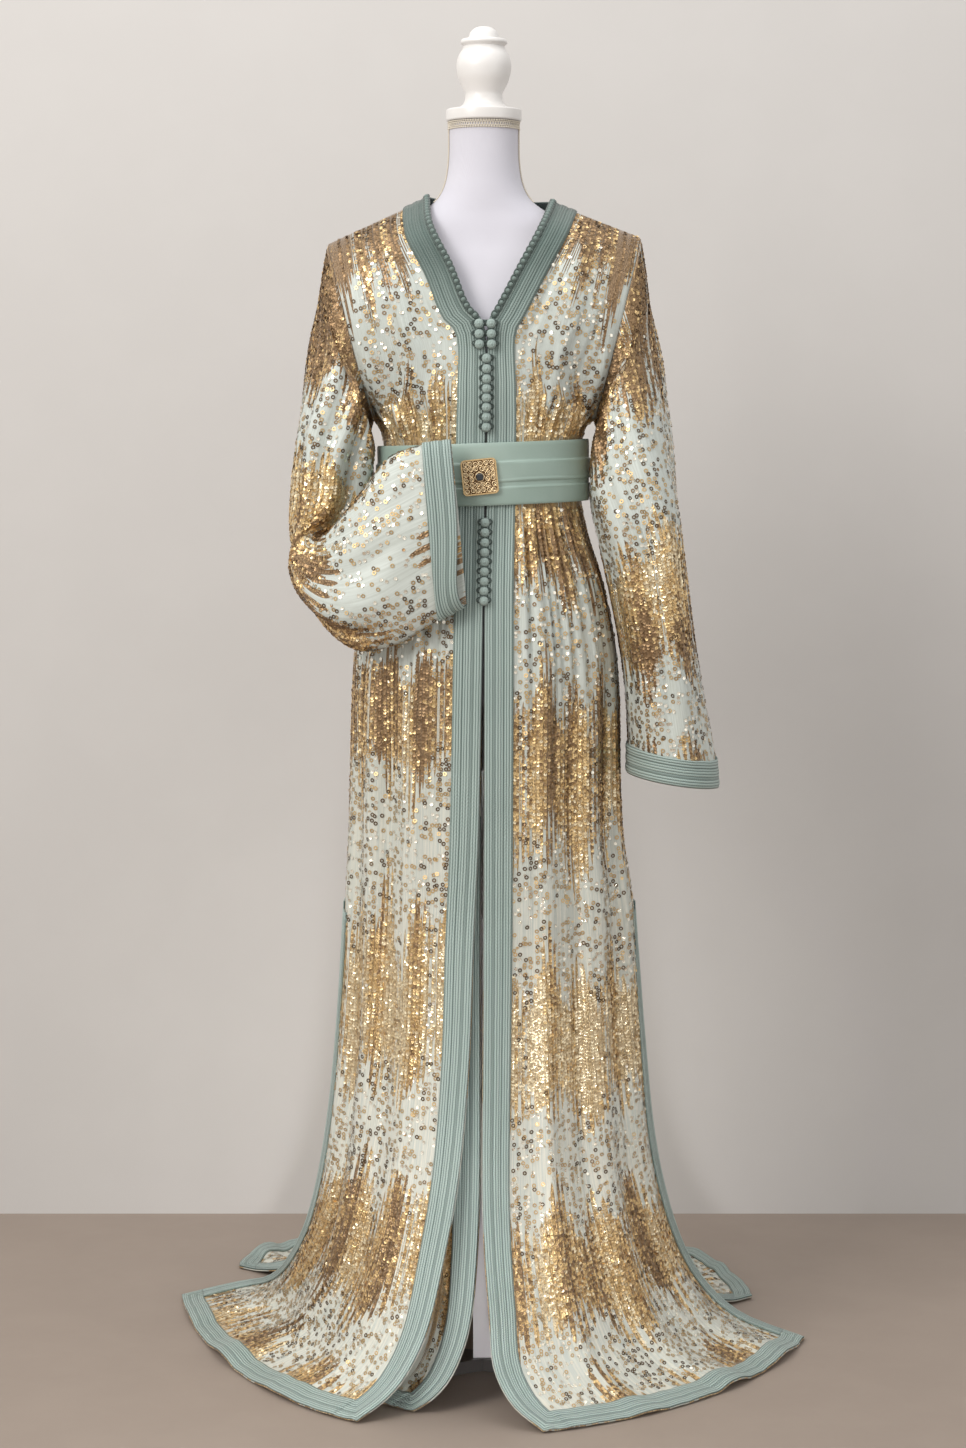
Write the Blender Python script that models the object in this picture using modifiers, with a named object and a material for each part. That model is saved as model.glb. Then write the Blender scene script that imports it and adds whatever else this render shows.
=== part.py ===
"""A Moroccan kaftan on a white, limbless dress form.

Metres, +Z up, the floor at z = 0 and the form's post on the Z axis. A person
facing the garment looks along +Y; left and right are theirs.

Each garment piece is a wall on a surface P(u, along): `along` runs down the
cloth from the shoulder seam, u runs across it from the centre line (0) to the
side line (1). The lines that bound a piece are short tables of points.
"""
import bmesh
import bpy
from collections import namedtuple
from math import cos, pi, radians, sin
from mathutils import Vector

# ---------------------------------------------------------------- sizes
CLOTH = 0.002            # wall of the sequinned pieces
BRAID = 0.0018           # wall of the braid bands
GAP = 0.0004             # air between pieces that touch
SEAM = 0.0007            # air between two pieces that are sewn edge to edge
SLEEVE_SEAM = 0.0021     # the same where a sleeve turns down from the armhole
FRONT_BAND = 0.035       # width of the bands down the front edges
SIDE_BAND = 0.028        # width of the bands on the side slits
HEM_BAND = 0.032         # width of the bands along the hems
CUFF_BAND = 0.037        # width of the cuffs
FLOOR = CLOTH / 2 + 0.0003
ARMPIT = 0.274           # along, at the bottom of the armhole
SLIT = 0.926             # along, at the top of the side slits
FRONT_HEM = 1.570
BACK_HEM = 1.800
NECK_RIM = 0.0009        # along, at the first row of points under the shoulder seam
NECK_SHARE = 0.55        # share of the back's half width that the neck band covers
YOKE = 0.11              # along, where the back's top has eased into its plain curve
SLEEVE_HEAD = 0.09       # length over which the sleeve eases into the armhole

FRONT_COLUMNS = 22
BACK_COLUMNS = 22
ARM_ROWS = 7             # rows of points between the shoulder and the armpit
BUTTON = 0.0056          # radius of a knotted button
BUTTON_STEP = 0.0129     # from one button to the next, at the V
CLOSED_STEP = 0.0127     # the same where the fronts meet edge to edge
BUTTON_SINK = 0.0003     # how far a button dips between the two bands' edges
PAIR_ASIDE = 0.0072      # from the centre line to a button of a pair
PAIR_RISE = 0.0005       # a button of a pair lies this much further out, on one band

LEFT = -1
RIGHT = 1
NAME = {LEFT: "left", RIGHT: "right"}

Point = namedtuple("Point", "along x y z")
Value = namedtuple("Value", "along value")
Fold = namedtuple("Fold", "top low wide deep start end")
Ring = namedtuple("Ring", "along out_x out_z in_x in_z y deep")

# ---------------------------------------------------------------- guide lines
# neck and centre front edge, from the shoulder to the hem's point
FRONT_EDGE = {
    LEFT: (
        Point(0.000, -0.0650, 0.005, 1.4690),
        Point(0.067, -0.0600, -0.062, 1.4300),
        Point(0.130, -0.0360, -0.086, 1.3820),
        Point(0.185, -0.0165, -0.0955, 1.3340),
        Point(0.207, 0.0004, -0.098, 1.3150),
        Point(0.274, 0.0035, -0.100, 1.2500),
        Point(0.353, 0.0030, -0.094, 1.1780),
        Point(0.427, 0.0020, -0.094, 1.0890),
        Point(0.525, 0.0005, -0.112, 1.0000),
        Point(0.626, -0.0010, -0.120, 0.9000),
        Point(0.826, -0.0050, -0.128, 0.7000),
        Point(0.953, -0.0107, -0.130, 0.5730),
        Point(1.107, -0.0165, -0.138, 0.4200),
        Point(1.245, -0.0290, -0.150, 0.2835),
        Point(1.358, -0.0490, -0.165, 0.1737),
        Point(1.432, -0.0670, -0.180, 0.1028),
        Point(1.487, -0.0910, -0.190, 0.0527),
        Point(1.521, -0.1140, -0.200, 0.0263),
        Point(1.570, -0.1500, -0.210, 0.0015),
    ),
    RIGHT: (
        Point(0.000, 0.0820, 0.005, 1.4630),
        Point(0.067, 0.0680, -0.062, 1.4300),
        Point(0.130, 0.0420, -0.086, 1.3820),
        Point(0.185, 0.0165, -0.0955, 1.3340),
        Point(0.207, 0.0062, -0.098, 1.3150),
        Point(0.274, 0.0052, -0.100, 1.2500),
        Point(0.353, 0.0045, -0.094, 1.1780),
        Point(0.427, 0.0034, -0.094, 1.0890),
        Point(0.525, 0.0017, -0.112, 1.0000),
        Point(0.626, 0.0015, -0.120, 0.9000),
        Point(0.826, 0.0010, -0.128, 0.7000),
        Point(0.953, 0.0005, -0.130, 0.5730),
        Point(1.107, -0.0005, -0.138, 0.4200),
        Point(1.245, -0.0015, -0.150, 0.2835),
        Point(1.330, 0.0010, -0.165, 0.2022),
        Point(1.410, 0.0070, -0.187, 0.1245),
        Point(1.475, 0.0127, -0.207, 0.0656),
        Point(1.518, 0.0340, -0.226, 0.0280),
        Point(1.570, 0.0710, -0.244, 0.0015),
    ),
}
SHOULDER_TIP = {LEFT: Vector((-0.189, 0.005, 1.412)), RIGHT: Vector((0.192, 0.005, 1.420))}
UNDERARM = {LEFT: Vector((-0.135, 0.005, 1.200)), RIGHT: Vector((0.137, 0.005, 1.200))}
ARMHOLE_DEPTH = 0.066
# side seam, from the armpit to the top of the slit
SIDE_SEAM = {
    LEFT: (
        Point(0.274, -0.135, 0.005, 1.200),
        Point(0.353, -0.122, -0.006, 1.174),
        Point(0.427, -0.122, -0.006, 1.085),
        Point(0.525, -0.147, 0.004, 0.990),
        Point(0.626, -0.160, 0.010, 0.895),
        Point(0.826, -0.167, 0.012, 0.700),
        Point(0.926, -0.172, 0.012, 0.600),
    ),
    RIGHT: (
        Point(0.274, 0.137, 0.005, 1.200),
        Point(0.353, 0.122, -0.006, 1.178),
        Point(0.427, 0.122, -0.006, 1.088),
        Point(0.525, 0.150, 0.002, 0.990),
        Point(0.626, 0.167, 0.008, 0.895),
        Point(0.826, 0.173, 0.010, 0.700),
        Point(0.926, 0.188, 0.012, 0.600),
    ),
}
FRONT_SLIT = {
    LEFT: (
        Point(0.926, -0.172, 0.012, 0.600),
        Point(1.107, -0.185, 0.030, 0.420),
        Point(1.245, -0.202, 0.055, 0.280),
        Point(1.358, -0.226, 0.100, 0.170),
        Point(1.432, -0.258, 0.190, 0.088),
        Point(1.487, -0.292, 0.280, 0.034),
        Point(1.521, -0.335, 0.330, 0.010),
        Point(1.570, -0.413, 0.290, 0.0015),
    ),
    RIGHT: (
        Point(0.926, 0.188, 0.012, 0.600),
        Point(1.107, 0.204, 0.045, 0.420),
        Point(1.245, 0.220, 0.075, 0.280),
        Point(1.358, 0.245, 0.115, 0.170),
        Point(1.432, 0.276, 0.158, 0.090),
        Point(1.487, 0.315, 0.178, 0.036),
        Point(1.521, 0.352, 0.172, 0.011),
        Point(1.570, 0.421, 0.112, 0.0015),
    ),
}
BACK_SLIT = {
    LEFT: (
        Point(0.926, -0.172, 0.012, 0.600),
        Point(1.107, -0.181, 0.055, 0.420),
        Point(1.245, -0.192, 0.100, 0.280),
        Point(1.358, -0.208, 0.165, 0.170),
        Point(1.432, -0.226, 0.230, 0.100),
        Point(1.500, -0.250, 0.300, 0.050),
        Point(1.560, -0.275, 0.360, 0.020),
        Point(1.660, -0.315, 0.405, 0.004),
        Point(1.800, -0.346, 0.431, 0.0015),
    ),
    RIGHT: (
        Point(0.926, 0.188, 0.012, 0.600),
        Point(1.107, 0.197, 0.065, 0.420),
        Point(1.245, 0.208, 0.105, 0.280),
        Point(1.358, 0.228, 0.148, 0.170),
        Point(1.432, 0.250, 0.185, 0.100),
        Point(1.500, 0.275, 0.215, 0.050),
        Point(1.560, 0.300, 0.235, 0.020),
        Point(1.660, 0.335, 0.258, 0.004),
        Point(1.800, 0.368, 0.285, 0.0015),
    ),
}
BACK_CENTRE = (
    Point(0.000, 0.008, 0.078, 1.437),
    Point(0.067, 0.005, 0.090, 1.385),
    Point(0.130, 0.003, 0.096, 1.330),
    Point(0.205, 0.001, 0.097, 1.270),
    Point(0.274, 0.000, 0.092, 1.215),
    Point(0.353, 0.000, 0.082, 1.176),
    Point(0.427, 0.000, 0.082, 1.086),
    Point(0.525, 0.000, 0.103, 0.995),
    Point(0.626, 0.000, 0.116, 0.900),
    Point(0.826, 0.000, 0.131, 0.700),
    Point(0.926, 0.000, 0.142, 0.600),
    Point(1.107, 0.000, 0.168, 0.420),
    Point(1.245, 0.000, 0.205, 0.280),
    Point(1.358, 0.000, 0.250, 0.175),
    Point(1.432, 0.000, 0.295, 0.115),
    Point(1.500, 0.000, 0.345, 0.065),
    Point(1.560, 0.000, 0.395, 0.028),
    Point(1.660, 0.000, 0.500, 0.006),
    Point(1.800, 0.000, 0.655, 0.0015),
)
NAPE = Vector((0.009, 0.064, 1.468))

# how round a piece is across: 1 a quarter of an ellipse, 0 a straight chord
FRONT_ROUND = (Value(0.0, 0.0), Value(0.067, 0.60), Value(0.13, 0.85), Value(0.274, 1.0),
               Value(0.626, 1.0), Value(0.926, 0.82), Value(1.107, 0.66), Value(1.245, 0.60),
               Value(1.487, 0.58), Value(1.57, 0.58))
BACK_ROUND = (Value(0.0, 0.5), Value(0.067, 0.75), Value(0.13, 0.9), Value(0.274, 1.0),
              Value(1.80, 1.0))

# height of the gathers, which the belt pinches
GATHERS = (Value(0.270, 0.0), Value(0.322, 0.0030), Value(0.346, 0.0010), Value(0.428, 0.0010),
           Value(0.450, 0.0032), Value(0.60, 0.0022), Value(0.76, 0.0))

# long folds: place across at the top and the low end, half width, height, start and end along
FOLDS = {
    LEFT: (
        Fold(0.34, 0.30, 0.10, 0.006, 0.46, 1.75),
        Fold(0.50, 0.46, 0.08, -0.005, 0.55, 1.50),
        Fold(0.62, 0.60, 0.09, 0.008, 0.44, 1.80),
        Fold(0.78, 0.74, 0.08, -0.004, 0.62, 1.46),
        Fold(0.86, 0.84, 0.10, 0.006, 0.70, 1.70),
        Fold(0.30, 0.55, 0.12, 0.004, 0.06, 0.36),
        Fold(0.85, 0.55, 0.12, 0.006, 0.16, 0.36),
    ),
    RIGHT: (
        Fold(0.30, 0.27, 0.09, 0.007, 0.44, 1.60),
        Fold(0.46, 0.44, 0.09, -0.005, 0.58, 1.52),
        Fold(0.58, 0.56, 0.10, 0.008, 0.50, 1.80),
        Fold(0.73, 0.70, 0.08, -0.005, 0.47, 1.45),
        Fold(0.84, 0.83, 0.10, 0.007, 0.60, 1.80),
        Fold(0.34, 0.50, 0.12, 0.004, 0.05, 0.35),
        Fold(0.88, 0.60, 0.12, 0.006, 0.15, 0.36),
    ),
}
BACK_FOLDS = (
    Fold(-0.72, -0.76, 0.10, 0.008, 0.45, 2.10),
    Fold(-0.50, -0.52, 0.09, -0.006, 0.50, 1.60),
    Fold(-0.30, -0.34, 0.11, 0.009, 0.46, 2.10),
    Fold(-0.06, -0.08, 0.10, -0.006, 0.60, 1.65),
    Fold(0.14, 0.16, 0.11, 0.009, 0.46, 2.00),
    Fold(0.38, 0.42, 0.10, -0.005, 0.52, 1.60),
    Fold(0.60, 0.64, 0.11, 0.008, 0.46, 2.10),
    Fold(-0.40, -0.10, 0.14, 0.004, 0.06, 0.35),
    Fold(0.42, 0.12, 0.14, 0.004, 0.06, 0.35),
)

# sleeves as rings: outer and inner point from the front, depth from it, half depth
SLEEVES = {
    LEFT: (
        Ring(0.00, -0.189, 1.412, -0.135, 1.200, 0.005, 0.066),
        Ring(0.09, -0.204, 1.325, -0.143, 1.168, 0.004, 0.072),
        Ring(0.20, -0.222, 1.212, -0.137, 1.124, -0.010, 0.067),
        Ring(0.30, -0.235, 1.115, -0.142, 1.084, -0.015, 0.061),
        Ring(0.37, -0.2345, 1.050, -0.162, 1.056, -0.028, 0.055),
        Ring(0.43, -0.2160, 1.000, -0.176, 1.050, -0.050, 0.048),
        Ring(0.49, -0.187, 0.952, -0.163, 1.076, -0.082, 0.040),
        Ring(0.54, -0.152, 0.925, -0.143, 1.112, -0.108, 0.033),
        Ring(0.60, -0.104, 0.932, -0.113, 1.152, -0.124, 0.026),
        Ring(0.66, -0.057, 0.960, -0.074, 1.168, -0.130, 0.019),
        Ring(0.70, -0.020, 0.981, -0.038, 1.173, -0.131, 0.017),
    ),
    RIGHT: (
        Ring(0.00, 0.192, 1.420, 0.137, 1.200, 0.005, 0.066),
        Ring(0.09, 0.206, 1.325, 0.146, 1.165, 0.005, 0.0725),
        Ring(0.20, 0.222, 1.218, 0.134, 1.106, -0.010, 0.077),
        Ring(0.30, 0.234, 1.121, 0.143, 1.047, -0.030, 0.077),
        Ring(0.39, 0.246, 1.032, 0.156, 0.988, -0.030, 0.078),
        Ring(0.49, 0.260, 0.928, 0.171, 0.908, -0.026, 0.078),
        Ring(0.57, 0.274, 0.849, 0.178, 0.842, -0.022, 0.077),
        Ring(0.635, 0.2865, 0.784, 0.1797, 0.803, -0.020, 0.077),
        Ring(0.673, 0.2895, 0.748, 0.1797, 0.766, -0.020, 0.077),
    ),
}
SLEEVE_ROWS = {LEFT: 15, RIGHT: 11}
# long folds of a sleeve: place round it, 0 at the outer side and 0.5 at the inner side
SLEEVE_FOLDS = {
    LEFT: (
        Fold(0.16, 0.20, 0.10, 0.006, 0.05, 0.45),
        Fold(0.32, 0.34, 0.08, -0.006, 0.10, 0.40),
        Fold(0.24, 0.14, 0.09, 0.006, 0.40, 0.64),
        Fold(0.78, 0.76, 0.12, 0.006, 0.05, 0.40),
    ),
    RIGHT: (
        Fold(0.14, 0.18, 0.09, 0.006, 0.05, 0.66),
        Fold(0.32, 0.30, 0.09, -0.005, 0.08, 0.60),
        Fold(0.70, 0.72, 0.10, 0.006, 0.05, 0.66),
    ),
}

# the inner layer is the left front's surface moved by x and y, and in by z
INNER_WIDTH = 0.27
INNER_TOP = 0.392
INNER_SHIFT = (
    Point(0.392, 0.000, 0.0, 0.0036),
    Point(0.440, 0.000, 0.0, 0.0064),
    Point(0.626, 0.000, 0.0, 0.0100),
    Point(0.826, 0.002, 0.0, 0.0110),
    Point(0.953, 0.006, 0.0, 0.0110),
    Point(1.107, 0.011, 0.0, 0.0110),
    Point(1.245, 0.022, 0.0, 0.0120),
    Point(1.358, 0.036, 0.0, 0.0130),
    Point(1.432, 0.044, 0.004, 0.0120),
    Point(1.487, 0.050, 0.010, 0.0100),
    Point(1.521, 0.054, 0.018, 0.0070),
    Point(1.570, 0.066, 0.038, 0.0010),
)


# ---------------------------------------------------------------- curves
def curve(rows, along):
    """Point on the smooth line through a table of points."""
    last = len(rows) - 1
    step = 0
    while step < last - 1 and along > rows[step + 1].along:
        step += 1

    def place(index):
        row = rows[max(0, min(last, index))]
        return Vector((row.x, row.y, row.z))

    def at(index):
        return rows[max(0, min(last, index))].along

    span = at(step + 1) - at(step)
    part = (along - at(step)) / span
    into = (place(step + 1) - place(step - 1)) / (at(step + 1) - at(step - 1)) * span
    out_of = (place(step + 2) - place(step)) / (at(step + 2) - at(step)) * span
    square = part * part
    cube = square * part
    return (place(step) * (2 * cube - 3 * square + 1) + into * (cube - 2 * square + part)
            + place(step + 1) * (3 * square - 2 * cube) + out_of * (cube - square))


def value(rows, along):
    """Straight steps through a table of values."""
    if along <= rows[0].along:
        return rows[0].value
    for low, high in zip(rows, rows[1:]):
        if along <= high.along:
            part = (along - low.along) / (high.along - low.along)
            return low.value + (high.value - low.value) * part
    return rows[-1].value


def ease(part):
    part = max(0.0, min(1.0, part))
    return part * part * (3 - 2 * part)


def fold_height(folds, across, along, around=False):
    """Height of all the long folds at one place of a piece."""
    height = 0.0
    for fold in folds:
        part = (along - fold.start) / (fold.end - fold.start)
        if not 0 < part < 1:
            continue
        off = across - (fold.top + (fold.low - fold.top) * part)
        if around:
            off = (off + 0.5) % 1 - 0.5
        if abs(off) < fold.wide:
            shape = 0.5 + 0.5 * cos(pi * off / fold.wide)
            height += fold.deep * shape * ease(part * 5) * ease((1 - part) * 5)
    return height


def arc(centre, side, roundness, u):
    """Point u of the way from the centre line to the side line."""
    swing = u * pi / 2
    ellipse = Vector((centre.x + (side.x - centre.x) * sin(swing),
                      side.y + (centre.y - side.y) * cos(swing),
                      centre.z + (side.z - centre.z) * u))
    return centre.lerp(side, u).lerp(ellipse, roundness)


def armhole(hand, along, facing):
    """Point on the armhole; facing is -1 on its front half and 1 on its back half."""
    swing = pi * along / ARMPIT
    middle = (SHOULDER_TIP[hand] + UNDERARM[hand]) / 2
    reach = (SHOULDER_TIP[hand] - UNDERARM[hand]) / 2
    return middle + reach * cos(swing) + Vector((0, facing * ARMHOLE_DEPTH * sin(swing), 0))


def side_line(hand, along, facing):
    if along <= ARMPIT:
        return armhole(hand, along, facing)
    if along <= SLIT:
        return curve(SIDE_SEAM[hand], along)
    slit = FRONT_SLIT if facing < 0 else BACK_SLIT
    return curve(slit[hand], along)


# ---------------------------------------------------------------- surfaces
def front_base(hand, u, along):
    centre = curve(FRONT_EDGE[hand], along)
    return arc(centre, side_line(hand, along, -1), value(FRONT_ROUND, along), u)


def neck_end(hand):
    """Where the neck band meets the shoulder seam: its inner and its outer corner."""
    inner = curve(FRONT_EDGE[hand], 0)
    outward = (SHOULDER_TIP[hand] - inner).normalized()
    return inner, inner + outward * FRONT_BAND


def back_top(u):
    """Top edge of the back: under the neck band, then along the shoulder seam."""
    hand = LEFT if u < 0 else RIGHT
    corner = neck_end(hand)[1]
    if abs(u) < NECK_SHARE:
        return arc(curve(BACK_CENTRE, 0), corner, 1.0, abs(u) / NECK_SHARE)
    return corner.lerp(SHOULDER_TIP[hand], (abs(u) - NECK_SHARE) / (1 - NECK_SHARE))


def back_base(u, along):
    hand = LEFT if u < 0 else RIGHT
    roundness = value(BACK_ROUND, along)
    place = arc(curve(BACK_CENTRE, along), side_line(hand, along, 1), roundness, abs(u))
    top_share = 1 - ease(along / YOKE)
    if top_share > 0:
        start = arc(curve(BACK_CENTRE, 0), side_line(hand, 0, 1), value(BACK_ROUND, 0), abs(u))
        place += (back_top(u) - start) * top_share
    return place


def normal_at(surface, u, along, turn):
    """Unit vector out of a surface; turn is 1 or -1 so that it points outwards."""
    step = 0.002
    across = surface(u + step, along) - surface(u - step, along)
    down = surface(u, along + step) - surface(u, along - step)
    return (down.cross(across) * turn).normalized()


def on_floor(place):
    place.z = max(place.z, FLOOR)
    return place


def front_surface(hand):
    return lambda u, along: front_base(hand, u, along)


def front_place(hand, u, along, gather=0.0):
    """A point of a front piece with its folds; gather runs from -1 to 1."""
    place = front_base(hand, u, along)
    height = fold_height(FOLDS[hand], u, along) + gather * value(GATHERS, along)
    if height:
        place += normal_at(front_surface(hand), u, along, hand) * height
    return on_floor(place)


def back_place(u, along, gather=0.0):
    place = back_base(u, along)
    height = fold_height(BACK_FOLDS, u, along) + gather * value(GATHERS, along)
    if height:
        place += normal_at(back_base, u, along, -1) * height
    return on_floor(place)


# ---------------------------------------------------------------- rows and columns
def width_at(surface, along, start, end):
    """Length across a surface, and the share of it for each small step."""
    steps = 24
    points = [surface(start + (end - start) * n / steps, along) for n in range(steps + 1)]
    total = [0.0]
    for first, second in zip(points, points[1:]):
        total.append(total[-1] + (second - first).length)
    return total


def share_at(total, distance):
    """Share of the way across at which this distance is covered."""
    steps = len(total) - 1
    for n in range(steps):
        if distance <= total[n + 1]:
            part = (distance - total[n]) / (total[n + 1] - total[n])
            return (n + part) / steps
    return 1.0


def front_stations(hand, along):
    """u of each column of points: two under each band, the rest evenly between."""
    total = width_at(front_surface(hand), along, 0.0, 1.0)
    near = [share_at(total, FRONT_BAND * n / 2) for n in range(3)]
    seam = SEAM / 2 if along <= SLIT else 0.0
    far = [share_at(total, total[-1] - seam - SIDE_BAND * n / 2) for n in (2, 1, 0)]
    middle = FRONT_COLUMNS - 4
    between = [near[2] + (far[0] - near[2]) * n / middle for n in range(1, middle)]
    return near + between + far


def back_stations(along):
    """u of each column, from the right side to the left side."""
    ends = {}
    for hand in (LEFT, RIGHT):
        def half(share, at, hand=hand):
            return back_base(share * hand, at)
        total = width_at(half, along, 0.0, 1.0)
        seam = SEAM / 2 if along <= SLIT else 0.0
        ends[hand] = [hand * share_at(total, total[-1] - seam - SIDE_BAND * n / 2)
                      for n in range(3)]
    middle = BACK_COLUMNS - 4
    first = ends[RIGHT][2]
    last = ends[LEFT][2]
    between = [first + (last - first) * n / middle for n in range(1, middle)]
    return ends[RIGHT] + between + ends[LEFT][::-1]


def even(start, end, count):
    return [start + (end - start) * n / count for n in range(1, count + 1)]


# the `along` of each row of points down to the hem's band
WAIST_ROWS = [0.320, 0.350, 0.390, 0.428, 0.470, 0.540]
UPPER_ROWS = ([NECK_RIM] + even(0, ARMPIT, ARM_ROWS) + WAIST_ROWS
              + even(WAIST_ROWS[-1], SLIT, 3)[:-1])
FRONT_ROWS = UPPER_ROWS + [SLIT, 1.05, 1.17, 1.27, 1.345, 1.405, 1.455, 1.492]
BACK_ROWS = UPPER_ROWS + [SLIT, 1.05, 1.17, 1.27, 1.36, 1.44, 1.51, 1.58, 1.67]


def hem_row(place, hem, distance):
    """`along` of the point that lies this far from the hem, down one column."""
    step = 0.004
    along = hem
    here = place(along)
    covered = 0.0
    while covered < distance:
        nearer = place(along - step)
        covered += (nearer - here).length
        here = nearer
        along -= step
    return along


def front_point(hand, column, row):
    """A point of a front's net, by its column and row."""
    def place(along):
        stations = front_stations(hand, along)
        gather = 0.0
        if 2 < column < FRONT_COLUMNS - 2:
            gather = 1.0 if column % 2 else -1.0
        return front_place(hand, stations[column], along, gather)
    if row < len(FRONT_ROWS):
        return place(FRONT_ROWS[row])
    steps_up = len(FRONT_ROWS) + 2 - row
    return place(hem_row(place, FRONT_HEM, HEM_BAND * steps_up / 2))


def back_point(column, row):
    def place(along):
        stations = back_stations(along)
        gather = 0.0
        if 2 < column < BACK_COLUMNS - 2:
            gather = 1.0 if column % 2 else -1.0
        return back_place(stations[column], along, gather)
    if row < len(BACK_ROWS):
        return place(BACK_ROWS[row])
    steps_up = len(BACK_ROWS) + 2 - row
    return place(hem_row(place, BACK_HEM, HEM_BAND * steps_up / 2))


# ---------------------------------------------------------------- Blender helpers
def clear_scene():
    for obj in list(bpy.data.objects):
        bpy.data.objects.remove(obj, do_unlink=True)
    for collection in list(bpy.data.collections):
        bpy.data.collections.remove(collection)


def material(name, colour, roughness, metallic=0.0):
    mat = bpy.data.materials.new(name)
    mat.use_nodes = True
    shader = mat.node_tree.nodes["Principled BSDF"]
    shader.inputs["Base Color"].default_value = (*colour, 1.0)
    shader.inputs["Roughness"].default_value = roughness
    shader.inputs["Metallic"].default_value = metallic
    return mat


def add_object(name, mesh, mat):
    obj = bpy.data.objects.new(name, mesh)
    obj.data.materials.append(mat)
    PARTS.objects.link(obj)
    for polygon in mesh.polygons:
        polygon.use_smooth = True
    return obj


def net(columns, rows, place, flip=False, closed=False):
    """Mesh of columns x rows faces whose points come from place(column, row)."""
    bm = bmesh.new()
    bmesh.ops.create_grid(bm, x_segments=columns, y_segments=rows, size=0.5)
    for vert in bm.verts:
        column = round((vert.co.x + 0.5) * columns)
        row = round((0.5 - vert.co.y) * rows)
        vert.co = place(column, row)
    if closed:
        bmesh.ops.remove_doubles(bm, verts=bm.verts, dist=0.00001)
    if flip:
        bmesh.ops.reverse_faces(bm, faces=bm.faces)
    bm.normal_update()
    mesh = bpy.data.meshes.new("net")
    bm.to_mesh(mesh)
    bm.free()
    return mesh


def wall(obj, thickness):
    """Give an open surface its wall, half on each side."""
    solidify = obj.modifiers.new("wall", "SOLIDIFY")
    solidify.thickness = thickness
    solidify.offset = 0.0
    return obj


def net_normals(points):
    """Unit normals of a net of points, a list of rows."""
    normals = []
    last_row = len(points) - 1
    last_column = len(points[0]) - 1
    for r in range(last_row + 1):
        line = []
        for c in range(last_column + 1):
            across = points[r][min(c + 1, last_column)] - points[r][max(c - 1, 0)]
            down = points[min(r + 1, last_row)][c] - points[max(r - 1, 0)][c]
            line.append(down.cross(across).normalized())
        normals.append(line)
    return normals


def strip(name, points, normals, turn, mat, trim=(0, 0, 0, 0)):
    """A braid band over part of a net: its points moved out, its open edges trimmed.

    trim holds the air to leave at the first column, last column, first row and last row.
    """
    lift = CLOTH / 2 + GAP + BRAID / 2
    rows = len(points) - 1
    columns = len(points[0]) - 1

    def place(column, row):
        spot = points[row][column].copy()
        if column == 0 and trim[0]:
            spot += (points[row][1] - spot).normalized() * trim[0]
        if column == columns and trim[1]:
            spot += (points[row][columns - 1] - spot).normalized() * trim[1]
        if row == 0 and trim[2]:
            spot += (points[1][column] - spot).normalized() * trim[2]
        if row == rows and trim[3]:
            spot += (points[rows - 1][column] - spot).normalized() * trim[3]
        return spot + normals[row][column] * turn * lift
    mesh = net(columns, rows, place, flip=turn < 0)
    return wall(add_object(name, mesh, mat), BRAID)


def block(grid, first_row, last_row, first_column, last_column):
    return [line[first_column:last_column + 1] for line in grid[first_row:last_row + 1]]


# ---------------------------------------------------------------- garment
def build_front(hand):
    """One front with its three bands: front edge, side slit and hem."""
    rows = len(FRONT_ROWS) + 2
    points = [[front_point(hand, c, r) for c in range(FRONT_COLUMNS + 1)] for r in range(rows + 1)]
    normals = net_normals(points)
    turn = hand
    side = NAME[hand]
    mesh = net(FRONT_COLUMNS, rows, lambda c, r: points[r][c], flip=hand < 0)
    wall(add_object("front_" + side, mesh, SEQUINS), CLOTH)

    def band(name, cells, trim):
        strip(name + side, block(points, *cells), block(normals, *cells), turn, GREEN, trim)
    slit_row = len(UPPER_ROWS)
    band("braid_front_", (0, rows, 0, 2), (0, GAP, 0, 0))
    band("braid_side_", (slit_row, rows - 2, FRONT_COLUMNS - 2, FRONT_COLUMNS), (0, 0, 0, GAP))
    band("braid_hem_", (rows - 2, rows, 2, FRONT_COLUMNS), (GAP, 0, 0, 0))


def build_back():
    rows = len(BACK_ROWS) + 2
    points = [[back_point(c, r) for c in range(BACK_COLUMNS + 1)] for r in range(rows + 1)]
    normals = net_normals(points)
    mesh = net(BACK_COLUMNS, rows, lambda c, r: points[r][c])
    wall(add_object("back", mesh, SEQUINS), CLOTH)

    def band(name, cells, trim):
        strip(name, block(points, *cells), block(normals, *cells), 1, GREEN, trim)
    slit_row = len(UPPER_ROWS)
    band("braid_back_right", (slit_row, rows - 2, 0, 2), (0, 0, 0, GAP))
    band("braid_back_left", (slit_row, rows - 2, BACK_COLUMNS - 2, BACK_COLUMNS), (0, 0, 0, GAP))
    band("braid_back_hem", (rows - 2, rows, 0, BACK_COLUMNS), (0, 0, 0, 0))


def build_neck_band():
    """The band round the back of the neck, between the two front bands."""
    columns = 12
    reach = 0.999

    def line(hand_share, inner):
        hand = LEFT if hand_share < 0 else RIGHT
        corner = neck_end(hand)[0 if inner else 1]
        start = NAPE if inner else curve(BACK_CENTRE, 0)
        return arc(start, corner, 1.0, abs(hand_share))

    def place(column, row):
        share = (1 - 2 * column / columns) * reach
        inner = line(share, True)
        outer = line(share, False)
        down = (outer - inner).normalized() * NECK_RIM
        return inner.lerp(outer - down, row / 2) + Vector((0, SEAM / 2, 0))
    wall(add_object("braid_neck", net(columns, 2, place), GREEN), BRAID)


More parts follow.
